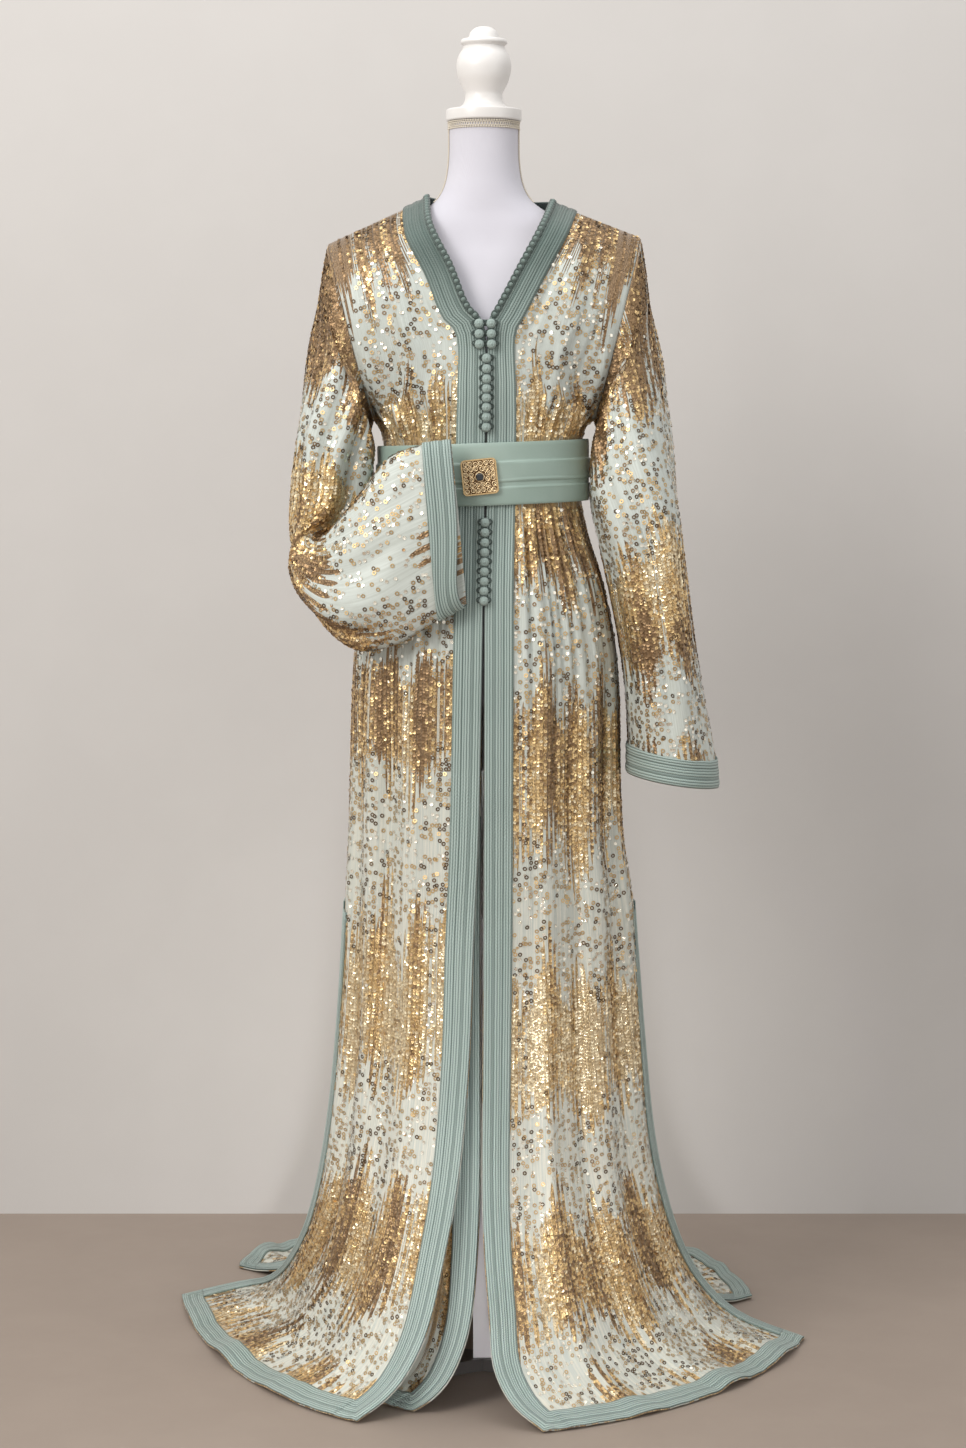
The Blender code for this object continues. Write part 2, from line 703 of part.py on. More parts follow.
def ring_at(rows, along):
    """Outer point, inner point, depth and half depth of a sleeve at one place."""
    outer = curve([Point(r.along, r.out_x, r.y, r.out_z) for r in rows], along)
    inner = curve([Point(r.along, r.in_x, r.y, r.in_z) for r in rows], along)
    deep = curve([Point(r.along, r.deep, 0, 0) for r in rows], along).x
    return outer, inner, deep


def sleeve_base(hand, around, along):
    """A point of the plain sleeve; around is 0 at the outer side, 0.25 in front."""
    rows = SLEEVES[hand]
    outer, inner, deep = ring_at(rows, along)
    step = 0.01
    ahead = sum(ring_at(rows, min(along + step, rows[-1].along))[:2], Vector())
    behind = sum(ring_at(rows, max(along - step, 0.0))[:2], Vector())
    half = (outer - inner) / 2
    forward = (ahead - behind).cross(half).normalized() * hand * deep
    angle = around * 2 * pi
    return (outer + inner) / 2 + half * cos(angle) + forward * sin(angle)


def sleeve_place(hand, around, along):
    place = sleeve_base(hand, around, along)
    height = fold_height(SLEEVE_FOLDS[hand], around, along, around=True)
    outer, inner, deep = ring_at(SLEEVES[hand], along)
    outward = (place - (outer + inner) / 2).normalized()
    place += outward * height
    if along < SLEEVE_HEAD:
        facing = -1 if around <= 0.5 else 1
        seam_along = ARMPIT * min(around, 1 - around) * 2
        seam = side_line(hand, seam_along, facing)
        further = sleeve_base(hand, around, SLEEVE_HEAD / 2)
        seam += (further - seam).normalized() * SLEEVE_SEAM
        place += (seam - sleeve_base(hand, around, 0.0)) * (1 - ease(along / SLEEVE_HEAD))
    return place


def build_sleeve(hand):
    around = 2 * ARM_ROWS
    end = SLEEVES[hand][-1].along
    rows = [0.0] + even(0, end - CUFF_BAND, SLEEVE_ROWS[hand]) + even(end - CUFF_BAND, end, 2)
    points = [[sleeve_place(hand, c / around, along) for c in range(around + 1)]
              for along in rows]
    name = "sleeve_" + NAME[hand]
    mesh = net(around, len(rows) - 1, lambda c, r: points[r][c], flip=hand > 0, closed=True)
    wall(add_object(name, mesh, SEQUINS), CLOTH)
    lift = CLOTH / 2 + GAP + BRAID / 2
    middles = [sum(line[:-1], Vector()) / around for line in points]

    def cuff_place(column, row):
        index = len(rows) - 3 + row
        spot = points[index][column % around]
        before = points[index][(column - 1) % around]
        after = points[index][(column + 1) % around]
        along_sleeve = middles[-1] - middles[-3]
        outward = (after - before).cross(along_sleeve).normalized()
        if outward.dot(spot - middles[index]) < 0:
            outward.negate()
        return spot + outward * lift
    mesh = net(around, 2, cuff_place, flip=hand > 0, closed=True)
    wall(add_object("cuff_" + NAME[hand], mesh, GREEN), BRAID)


def inner_place(u, along):
    """A point of the inner layer behind the left front."""
    shift = curve(INNER_SHIFT, along)
    place = front_base(LEFT, u, along)
    out = normal_at(front_surface(LEFT), u, along, LEFT)
    place -= out * shift.z
    place += Vector((shift.x, shift.y, 0))
    return on_floor(place)


def build_inner_front():
    """The narrow inner front layer with its band, in the left front's lee."""
    columns = 6
    rows = [INNER_TOP, 0.44, 0.54, 0.66, 0.80, 0.953, 1.107, 1.20, 1.29, 1.36, 1.42, 1.47, 1.505]

    def stations(along):
        total = width_at(front_surface(LEFT), along, 0.0, 1.0)
        near = [share_at(total, FRONT_BAND * n / 2) for n in range(3)]
        return near + [near[2] + (INNER_WIDTH - near[2]) * n / 4 for n in range(1, 5)]

    def point(column, row):
        def place(along):
            return inner_place(stations(along)[column], along)
        if row < len(rows):
            return place(rows[row])
        steps_up = len(rows) + 2 - row
        return place(hem_row(place, FRONT_HEM, HEM_BAND * steps_up / 2))
    last = len(rows) + 2
    points = [[point(c, r) for c in range(columns + 1)] for r in range(last + 1)]
    normals = net_normals(points)
    mesh = net(columns, last, lambda c, r: points[r][c], flip=True)
    wall(add_object("inner_front", mesh, SEQUINS), CLOTH)
    first = 4
    edge = (first, last, 0, 2)
    strip("braid_inner", block(points, *edge), block(normals, *edge), LEFT, GREEN,
          trim=(0, GAP, 0, 0))
    hem = (last - 2, last, 2, columns)
    strip("braid_inner_hem", block(points, *hem), block(normals, *hem), LEFT, GREEN,
          trim=(GAP, 0, 0, 0))


# ---------------------------------------------------------------- belt, buckle, buttons
BELT_MIDDLE = Vector((0.0, -0.006, 1.134))
BELT_TALL = 0.074
BELT_WALL = 0.0026
BELT_TILT = 0.035        # rise of the belt to the right, in metres a metre
GARMENT_REACH = Vector((0.122, 0.088))
# the belt's pleats: height from its middle, as a share of its half height, and step out
BELT_PLEATS = (
    Value(1.00, 0.0000), Value(0.44, 0.0006), Value(0.36, 0.0022), Value(-0.16, 0.0024),
    Value(-0.24, 0.0010), Value(-0.40, 0.0012), Value(-0.48, 0.0024), Value(-1.00, 0.0004),
)


def belt_place(around, height, out):
    """A point on the belt: around from 0 at the right side, height from -1 to 1."""
    clear = CLOTH / 2 + GATHERS[2].value + GAP + BELT_WALL / 2 + 0.0022 + out
    angle = -around * 2 * pi
    x = BELT_MIDDLE.x + (GARMENT_REACH.x + clear) * cos(angle)
    y = BELT_MIDDLE.y + (GARMENT_REACH.y + clear) * sin(angle)
    z = BELT_MIDDLE.z + height * BELT_TALL / 2 + BELT_TILT * x
    return Vector((x, y, z))


def build_belt():
    columns = 24

    def place(column, row):
        pleat = BELT_PLEATS[row]
        return belt_place((column % columns) / columns, pleat.along, pleat.value)
    mesh = net(columns, len(BELT_PLEATS) - 1, place, flip=True, closed=True)
    wall(add_object("belt", mesh, SATIN), BELT_WALL)


BUCKLE = Vector((-0.004, 0.0, 1.131))
BUCKLE_SIDE = 0.043
BUCKLE_THICK = 0.0036
BUCKLE_TURN = radians(-6.0)


def build_buckle():
    face = belt_place(0.25, 0.0, BELT_PLEATS[3].value).y - BELT_WALL / 2
    middle = Vector((BUCKLE.x, face - GAP - BUCKLE_THICK / 2, BUCKLE.z))
    bpy.ops.mesh.primitive_cube_add(size=1)
    plate = bpy.context.object
    finish(plate, "buckle", GOLD, (BUCKLE_SIDE, BUCKLE_THICK, BUCKLE_SIDE), middle)
    plate.rotation_euler = (0, BUCKLE_TURN, 0)
    round_edges(plate, 0.0009, 2)
    stone_thick = 0.0024
    bpy.ops.mesh.primitive_cube_add(size=1)
    stone = bpy.context.object
    front = middle.y - BUCKLE_THICK / 2 - GAP - stone_thick / 2
    finish(stone, "buckle_stone", STONE, (0.008, stone_thick, 0.008), (middle.x, front, middle.z))
    stone.rotation_euler = (0, BUCKLE_TURN, 0)
    round_edges(stone, 0.0008, 2)


def finish(obj, name, mat, size=(1, 1, 1), place=(0, 0, 0)):
    """Name a primitive, apply its size to its mesh and put it in its place."""
    obj.name = name
    obj.data.name = name
    for vert in obj.data.vertices:
        vert.co = Vector((vert.co.x * size[0], vert.co.y * size[1], vert.co.z * size[2]))
    obj.location = place
    obj.data.materials.append(mat)
    for collection in obj.users_collection:
        collection.objects.unlink(obj)
    PARTS.objects.link(obj)


def round_edges(obj, width, segments):
    bevel = obj.modifiers.new("edges", "BEVEL")
    bevel.width = width
    bevel.segments = segments
    bevel.limit_method = "ANGLE"


def on_edge(along):
    """Point midway between the two front edges, on the straight steps between rows."""
    lower = max(row for row in FRONT_ROWS if row <= along)
    upper = min(row for row in FRONT_ROWS if row > along)
    part = (along - lower) / (upper - lower)
    ends = [(curve(FRONT_EDGE[LEFT], row) + curve(FRONT_EDGE[RIGHT], row)) / 2
            for row in (lower, upper)]
    return ends[0].lerp(ends[1], part)


def build_buttons():
    """Knotted balls down the joint of the two front bands, in pairs at the V."""
    band_face = CLOTH / 2 + GAP + BRAID
    lean = 0.0006
    spots = []
    for n in range(3):
        along = 0.2085 + n * BUTTON_STEP
        spots += [(along, -PAIR_ASIDE - lean * n), (along, PAIR_ASIDE - lean * n)]
    spots += [(0.2515 + n * CLOSED_STEP, 0.0) for n in range(8)]
    spots += [(0.4405 + n * CLOSED_STEP, 0.0) for n in range(9)]
    for number, (along, aside) in enumerate(spots, 1):
        bm = bmesh.new()
        bmesh.ops.create_uvsphere(bm, u_segments=6, v_segments=6, radius=BUTTON)
        mesh = bpy.data.meshes.new("button")
        bm.to_mesh(mesh)
        bm.free()
        button = add_object("button_%02d" % number, mesh, GREEN)
        out = band_face + BUTTON - BUTTON_SINK + (PAIR_RISE if aside else 0)
        button.location = on_edge(along) + Vector((aside, -out, 0))


# ---------------------------------------------------------------- dress form and stand
Section = namedtuple("Section", "z half_wide half_deep y")
FORM_X = 0.001
FORM_SIDES = 20
FORM = (
    Section(1.560, 0.0425, 0.0425, 0.006),
    Section(1.520, 0.0425, 0.0425, 0.005),
    Section(1.495, 0.0450, 0.0435, 0.004),
    Section(1.478, 0.0500, 0.0450, 0.003),
    Section(1.4632, 0.0600, 0.0460, 0.002),
    Section(1.4494, 0.0800, 0.0480, 0.002),
    Section(1.4334, 0.1120, 0.0520, 0.002),
    Section(1.4107, 0.1400, 0.0580, 0.002),
    Section(1.385, 0.1530, 0.0660, 0.001),
    Section(1.345, 0.1540, 0.0750, 0.000),
    Section(1.290, 0.1380, 0.0840, 0.000),
    Section(1.210, 0.1200, 0.0780, -0.002),
    Section(1.130, 0.1080, 0.0700, -0.004),
    Section(1.050, 0.1210, 0.0800, -0.002),
    Section(0.960, 0.1370, 0.0930, 0.000),
    Section(0.880, 0.1380, 0.0960, 0.000),
    Section(0.845, 0.1300, 0.0900, 0.000),
    Section(0.835, 0.1100, 0.0740, 0.000),
)
POST_SIDE = 0.023
BASE_THICK = 0.016
ARM_LENGTH = 0.165
ARM_HALF = 0.013
ARM_TURNS = (27, 153, 207, 333)


def build_form():
    around = FORM_SIDES

    def place(column, row):
        section = FORM[row]
        angle = 2 * pi * (column % around) / around
        return Vector((FORM_X + section.half_wide * cos(angle),
                       section.y + section.half_deep * sin(angle), section.z))
    mesh = net(around, len(FORM) - 1, place, closed=True)
    bm = bmesh.new()
    bm.from_mesh(mesh)
    rims = [edge for edge in bm.edges if edge.is_boundary]
    bmesh.ops.holes_fill(bm, edges=rims, sides=around)
    bmesh.ops.recalc_face_normals(bm, faces=bm.faces)
    bm.to_mesh(mesh)
    bm.free()
    add_object("form", mesh, LINEN)


def build_form_braid():
    """Gimp braid round the top of the form's neck."""
    top = FORM[0]
    around = FORM_SIDES
    thick = 0.0014
    clear = GAP + thick / 2

    def place(column, row):
        angle = 2 * pi * (column % around) / around
        reach = top.half_wide + clear
        return Vector((FORM_X + reach * cos(angle), top.y + reach * sin(angle),
                       top.z - 0.0005 - 0.009 * row))
    mesh = net(around, 1, place, closed=True)
    wall(add_object("form_braid", mesh, GIMP), thick)


def turned(name, profile, steps, mat):
    """A turned piece: a profile of (radius, z) rows, top to bottom, spun about its axis."""
    mesh = bpy.data.meshes.new(name)
    points = [(radius, 0, z) for radius, z in profile]
    edges = [(n, n + 1) for n in range(len(points) - 1)]
    mesh.from_pydata(points, edges, [])
    obj = add_object(name, mesh, mat)
    screw = obj.modifiers.new("turn", "SCREW")
    screw.steps = steps
    screw.render_steps = steps
    screw.use_merge_vertices = True
    screw.merge_threshold = 0.00005
    obj.location = (FORM_X, FORM[0].y, 0)
    return obj


def build_turned_pieces():
    cap_low = FORM[0].z + 0.0003
    cap_high = cap_low + 0.0145
    cap_rim = 0.0460
    cap = [(0, cap_high), (cap_rim - 0.002, cap_high), (cap_rim, cap_high - 0.002),
           (cap_rim, cap_low + 0.002), (cap_rim - 0.002, cap_low), (0, cap_low)]
    turned("form_cap", cap, 24, PAINTED)
    foot = cap_high + 0.0003
    finial = [
        (0, foot + 0.0990), (0.0120, foot + 0.0965), (0.0180, foot + 0.0890),
        (0.0190, foot + 0.0845), (0.0275, foot + 0.0830), (0.0285, foot + 0.0770),
        (0.0270, foot + 0.0715), (0.0325, foot + 0.0600), (0.0334, foot + 0.0490),
        (0.0310, foot + 0.0360), (0.0250, foot + 0.0240), (0.0222, foot + 0.0190),
        (0.0240, foot + 0.0090), (0.0310, foot + 0.0000), (0, foot),
    ]
    turned("form_finial", finial, 20, PAINTED)


def build_stand():
    base = bpy.data.curves.new("base", "CURVE")
    base.dimensions = "2D"
    base.fill_mode = "BOTH"
    base.extrude = BASE_THICK / 2
    outline = base.splines.new("POLY")
    corners = []
    count = len(ARM_TURNS)
    for n, turn in enumerate(ARM_TURNS):
        angle = radians(turn)
        ahead = Vector((cos(angle), sin(angle)))
        aside = Vector((-sin(angle), cos(angle)))
        corners += [ahead * ARM_LENGTH - aside * ARM_HALF, ahead * ARM_LENGTH + aside * ARM_HALF]
        following = radians(ARM_TURNS[(n + 1) % count] + (360 if n == count - 1 else 0))
        half_turn = (following - angle) / 2
        middle = angle + half_turn
        reach = ARM_HALF / sin(half_turn)
        corners.append(Vector((cos(middle), sin(middle))) * reach)
    outline.points.add(len(corners) - 1)
    for point, corner in zip(outline.points, corners):
        point.co = (corner.x, corner.y, 0, 1)
    outline.use_cyclic_u = True
    obj = bpy.data.objects.new("base", base)
    obj.data.materials.append(PAINTED)
    obj.location = (0, 0, BASE_THICK / 2)
    PARTS.objects.link(obj)
    low = BASE_THICK + 0.0003
    high = FORM[-1].z - 0.0003
    bpy.ops.mesh.primitive_cube_add(size=1)
    finish(bpy.context.object, "post", PAINTED, (POST_SIDE, POST_SIDE, high - low),
           (-0.001, 0, (high + low) / 2))


# ---------------------------------------------------------------- make it all
clear_scene()
PARTS = bpy.data.collections.new("Moroccan kaftan")
bpy.context.scene.collection.children.link(PARTS)
SEQUINS = material("sequinned satin", (0.60, 0.56, 0.42), 0.4)
GREEN = material("sage braid", (0.20, 0.32, 0.27), 0.7)
SATIN = material("belt satin", (0.33, 0.47, 0.40), 0.45)
GOLD = material("gold filigree", (0.78, 0.54, 0.22), 0.3, 1.0)
STONE = material("dark stone", (0.03, 0.03, 0.04), 0.15)
LINEN = material("form cloth", (0.86, 0.85, 0.90), 0.8)
GIMP = material("gimp braid", (0.80, 0.74, 0.62), 0.8)
PAINTED = material("painted wood", (0.90, 0.88, 0.85), 0.35)

build_front(LEFT)
build_front(RIGHT)
build_back()
build_neck_band()
build_sleeve(LEFT)
build_sleeve(RIGHT)
build_inner_front()
build_belt()
build_buckle()
build_buttons()
build_form()
build_form_braid()
build_turned_pieces()
build_stand()
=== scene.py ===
"""Looks for a Moroccan kaftan on its white, limbless dress form.

Metres, +Z up. A person facing the garment looks along +Y; left and right are
theirs. Each garment piece is a net of points on a surface P(u, along), where
`along` runs down the cloth and u runs across it, with its folds and gathers
raised along the net's normals. Braid, sequins and knots are placed on the nets.
"""
from collections import namedtuple
from math import cos, pi, radians, sin, tau

import bmesh
import bpy
import numpy as np
from bmesh import ops
from mathutils import Matrix, Vector


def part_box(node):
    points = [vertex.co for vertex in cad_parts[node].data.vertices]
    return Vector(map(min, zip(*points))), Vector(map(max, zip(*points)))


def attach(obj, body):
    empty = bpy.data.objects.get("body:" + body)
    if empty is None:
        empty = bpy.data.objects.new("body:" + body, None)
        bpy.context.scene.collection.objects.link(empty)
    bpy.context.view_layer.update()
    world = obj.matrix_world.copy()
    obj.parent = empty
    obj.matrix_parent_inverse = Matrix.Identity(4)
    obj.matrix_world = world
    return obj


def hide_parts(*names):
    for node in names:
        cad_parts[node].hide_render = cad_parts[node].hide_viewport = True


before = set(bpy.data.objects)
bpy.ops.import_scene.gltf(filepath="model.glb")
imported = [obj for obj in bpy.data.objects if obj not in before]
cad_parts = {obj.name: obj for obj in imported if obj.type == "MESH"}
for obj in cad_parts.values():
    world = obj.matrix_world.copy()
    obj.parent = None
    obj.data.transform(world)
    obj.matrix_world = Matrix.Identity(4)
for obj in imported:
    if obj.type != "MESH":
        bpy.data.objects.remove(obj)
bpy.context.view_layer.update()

# ---- sizes
CLOTH = 0.0012  # wall of the sequinned pieces
BRAID = 0.0018  # wall of the braid bands
SEAM = 0.0007  # room left where pieces are sewn together
SLEEVE_SEAM = 0.0021  # the same between a sleeve and its armhole
FRONT_BAND = 0.035  # widths of the braid bands
SIDE_BAND = 0.028
HEM_BAND = 0.032
CUFF_BAND = 0.037
FLOOR = 0.0013  # the lowest that the middle of the cloth lies
ARMPIT = 0.274  # along: from here down the front and back meet at the side seam
SLIT = 0.926  # along: the side seam's end and the slit's top
FRONT_HEM = 1.570  # along: the hems
BACK_HEM = 1.800
NECK_RIM = 0.0009  # how far below its guide line the neck's edge is cut
NECK_SHARE = 0.55  # share of the back's top edge that lies under the neck band
YOKE = 0.11  # how far down the top edge shapes the back
SLEEVE_HEAD = 0.09  # how far down the armhole shapes a sleeve
ROW_STEP = 0.0125  # from one row of points to the next
LINE_WIDTH = 0.50  # the pattern's width across a piece with up to WAVE_COUNT gathers
WAVE_COUNT = 10

LEFT = -1
RIGHT = 1
NAME = {LEFT: "left", RIGHT: "right"}
GATHER_WAVES = {LEFT: 10, RIGHT: 11, 0: 20}

Point = namedtuple("Point", "along x y z")
Value = namedtuple("Value", "along value")
Fold = namedtuple("Fold", "top low wide deep start end")
Ring = namedtuple("Ring", "along out_x out_z in_x in_z y deep")


def table(kind, *rows):
    """Named rows from plain ones."""
    return tuple(kind(*row) for row in rows)


# ---- guide lines
# neck and centre front edge, from the shoulder to the hem's point
FRONT_EDGE = {
    LEFT: table(
        Point, (0, -0.065, 0.005, 1.469), (0.067, -0.06, -0.062, 1.43),
        (0.13, -0.036, -0.086, 1.382), (0.185, -0.0165, -0.0955, 1.334),
        (0.207, 0.0004, -0.098, 1.315), (0.274, 0.0035, -0.1, 1.25), (0.353, 0.003, -0.094, 1.178),
        (0.427, 0.002, -0.094, 1.089), (0.525, 0.0005, -0.112, 1), (0.626, -0.001, -0.12, 0.9),
        (0.826, -0.005, -0.128, 0.7), (0.953, -0.0107, -0.13, 0.573),
        (1.107, -0.0165, -0.138, 0.42), (1.245, -0.029, -0.15, 0.2835),
        (1.358, -0.049, -0.165, 0.1737), (1.432, -0.067, -0.18, 0.1028),
        (1.487, -0.091, -0.19, 0.0527), (1.521, -0.114, -0.2, 0.0263),
        (1.57, -0.15, -0.21, 0.0015)),
    RIGHT: table(
        Point, (0, 0.082, 0.005, 1.463), (0.067, 0.068, -0.062, 1.43),
        (0.13, 0.042, -0.086, 1.382), (0.185, 0.0165, -0.0955, 1.334),
        (0.207, 0.0062, -0.098, 1.315), (0.274, 0.0052, -0.1, 1.25),
        (0.353, 0.0045, -0.094, 1.178), (0.427, 0.0034, -0.094, 1.089), (0.525, 0.0017, -0.112, 1),
        (0.626, 0.0015, -0.12, 0.9), (0.826, 0.001, -0.128, 0.7), (0.953, 0.0005, -0.13, 0.573),
        (1.107, -0.0005, -0.138, 0.42), (1.245, -0.0015, -0.15, 0.2835),
        (1.33, 0.001, -0.165, 0.2022), (1.41, 0.007, -0.187, 0.1245),
        (1.475, 0.0127, -0.207, 0.0656), (1.518, 0.034, -0.226, 0.028),
        (1.57, 0.071, -0.244, 0.0015)),
}
SHOULDER_TIP = {LEFT: (-0.189, 0.005, 1.412), RIGHT: (0.192, 0.005, 1.420)}
UNDERARM = {LEFT: (-0.135, 0.005, 1.200), RIGHT: (0.137, 0.005, 1.200)}
ARMHOLE_DEPTH = 0.066
# side seam, from the armpit to the top of the slit
SIDE_SEAM = {
    LEFT: table(
        Point, (0.274, -0.135, 0.005, 1.2), (0.353, -0.122, -0.006, 1.174),
        (0.427, -0.122, -0.006, 1.085), (0.525, -0.147, 0.004, 0.99), (0.626, -0.16, 0.01, 0.895),
        (0.826, -0.167, 0.012, 0.7), (0.926, -0.172, 0.012, 0.6)),
    RIGHT: table(
        Point, (0.274, 0.137, 0.005, 1.2), (0.353, 0.122, -0.006, 1.178),
        (0.427, 0.122, -0.006, 1.088), (0.525, 0.15, 0.002, 0.99), (0.626, 0.167, 0.008, 0.895),
        (0.826, 0.173, 0.01, 0.7), (0.926, 0.188, 0.012, 0.6)),
}
FRONT_SLIT = {
    LEFT: table(
        Point, (0.926, -0.172, 0.012, 0.6), (1.107, -0.185, 0.03, 0.42),
        (1.245, -0.202, 0.055, 0.28), (1.358, -0.226, 0.1, 0.17), (1.432, -0.258, 0.19, 0.088),
        (1.487, -0.292, 0.28, 0.034), (1.521, -0.335, 0.33, 0.01), (1.57, -0.413, 0.29, 0.0015)),
    RIGHT: table(
        Point, (0.926, 0.188, 0.012, 0.6), (1.107, 0.204, 0.045, 0.42), (1.245, 0.22, 0.075, 0.28),
        (1.358, 0.245, 0.115, 0.17), (1.432, 0.276, 0.158, 0.09), (1.487, 0.315, 0.178, 0.036),
        (1.521, 0.352, 0.172, 0.011), (1.57, 0.421, 0.112, 0.0015)),
}
BACK_SLIT = {
    LEFT: table(
        Point, (0.926, -0.172, 0.012, 0.6), (1.107, -0.181, 0.055, 0.42),
        (1.245, -0.192, 0.1, 0.28), (1.358, -0.208, 0.165, 0.17), (1.432, -0.226, 0.23, 0.1),
        (1.5, -0.25, 0.3, 0.05), (1.56, -0.275, 0.36, 0.02), (1.66, -0.315, 0.405, 0.004),
        (1.8, -0.346, 0.431, 0.0015)),
    RIGHT: table(
        Point, (0.926, 0.188, 0.012, 0.6), (1.107, 0.197, 0.065, 0.42),
        (1.245, 0.208, 0.105, 0.28), (1.358, 0.228, 0.148, 0.17), (1.432, 0.25, 0.185, 0.1),
        (1.5, 0.275, 0.215, 0.05), (1.56, 0.3, 0.235, 0.02), (1.66, 0.335, 0.258, 0.004),
        (1.8, 0.368, 0.285, 0.0015)),
}
BACK_CENTRE = table(
    Point, (0, 0.008, 0.078, 1.437), (0.067, 0.005, 0.09, 1.385), (0.13, 0.003, 0.096, 1.33),
    (0.205, 0.001, 0.097, 1.27), (0.274, 0, 0.092, 1.215), (0.353, 0, 0.082, 1.176),
    (0.427, 0, 0.082, 1.086), (0.525, 0, 0.103, 0.995), (0.626, 0, 0.116, 0.9),
    (0.826, 0, 0.131, 0.7), (0.926, 0, 0.142, 0.6), (1.107, 0, 0.168, 0.42),
    (1.245, 0, 0.205, 0.28), (1.358, 0, 0.25, 0.175), (1.432, 0, 0.295, 0.115),
    (1.5, 0, 0.345, 0.065), (1.56, 0, 0.395, 0.028), (1.66, 0, 0.5, 0.006),
    (1.8, 0, 0.655, 0.0015))
NAPE = Vector((0.009, 0.064, 1.468))

# how round a piece is across: 1 a quarter of an ellipse, 0 a straight chord
FRONT_ROUND = table(
    Value, (0, 0), (0.067, 0.6), (0.13, 0.85), (0.274, 1), (0.626, 1), (0.926, 0.82),
    (1.107, 0.66), (1.245, 0.6), (1.487, 0.58), (1.57, 0.58))
BACK_ROUND = table(
    Value, (0, 0.5), (0.067, 0.75), (0.13, 0.9), (0.274, 1), (1.8, 1))

# height of the gathers, which the belt pinches
GATHERS = table(
    Value, (0.27, 0), (0.322, 0.003), (0.346, 0.001), (0.428, 0.001), (0.45, 0.0032),
    (0.6, 0.0022), (0.76, 0))

# long folds, then small creases: soft ridges and troughs, uneven in length and depth;
# place across at the top and the low end, half width, height, start and end along
FOLDS = {
    LEFT: table(
        Fold, (0.34, 0.3, 0.1, 0.006, 0.46, 1.75), (0.5, 0.46, 0.08, -0.005, 0.55, 1.5),
        (0.62, 0.6, 0.09, 0.008, 0.44, 1.8), (0.78, 0.74, 0.08, -0.004, 0.62, 1.46),
        (0.86, 0.84, 0.1, 0.006, 0.7, 1.7), (0.3, 0.55, 0.12, 0.004, 0.06, 0.36),
        (0.85, 0.55, 0.12, 0.006, 0.16, 0.36),
        (0.2, 0.24, 0.045, -0.0022, 0.02, 0.24), (0.45, 0.3, 0.05, 0.0028, 0.1, 0.33),
        (0.66, 0.42, 0.05, -0.0026, 0.12, 0.34), (0.95, 0.62, 0.06, 0.0036, 0.18, 0.36),
        (0.98, 0.78, 0.05, -0.003, 0.2, 0.36), (0.22, 0.2, 0.035, -0.0026, 0.42, 0.86),
        (0.41, 0.37, 0.03, 0.0024, 0.43, 1.02), (0.55, 0.52, 0.035, -0.003, 0.42, 1.22),
        (0.7, 0.66, 0.03, 0.0028, 0.44, 0.94), (0.9, 0.86, 0.04, -0.0034, 0.43, 1.1),
        (0.27, 0.33, 0.04, -0.0028, 1, 1.66), (0.48, 0.56, 0.045, 0.0036, 0.92, 1.7),
        (0.72, 0.8, 0.04, -0.0032, 1.05, 1.72)),
    RIGHT: table(
        Fold, (0.3, 0.27, 0.09, 0.007, 0.44, 1.6), (0.46, 0.44, 0.09, -0.005, 0.58, 1.52),
        (0.58, 0.56, 0.1, 0.008, 0.5, 1.8), (0.73, 0.7, 0.08, -0.005, 0.47, 1.45),
        (0.84, 0.83, 0.1, 0.007, 0.6, 1.8), (0.34, 0.5, 0.12, 0.004, 0.05, 0.35),
        (0.88, 0.6, 0.12, 0.006, 0.15, 0.36),
        (0.24, 0.22, 0.045, -0.0022, 0.03, 0.25), (0.5, 0.34, 0.05, 0.0028, 0.12, 0.33),
        (0.72, 0.48, 0.05, -0.0028, 0.1, 0.34), (0.97, 0.66, 0.06, 0.0036, 0.17, 0.36),
        (0.99, 0.82, 0.05, -0.003, 0.21, 0.36), (0.21, 0.2, 0.032, 0.0026, 0.42, 0.98),
        (0.36, 0.33, 0.03, -0.0028, 0.43, 0.8), (0.52, 0.5, 0.035, 0.003, 0.42, 1.16),
        (0.66, 0.64, 0.03, -0.0028, 0.44, 0.9), (0.8, 0.78, 0.035, 0.003, 0.43, 1.28),
        (0.93, 0.92, 0.03, -0.003, 0.46, 1.02), (0.26, 0.3, 0.04, 0.003, 0.98, 1.62),
        (0.44, 0.52, 0.045, -0.0036, 0.9, 1.7), (0.66, 0.76, 0.045, 0.0036, 1.02, 1.72)),
}
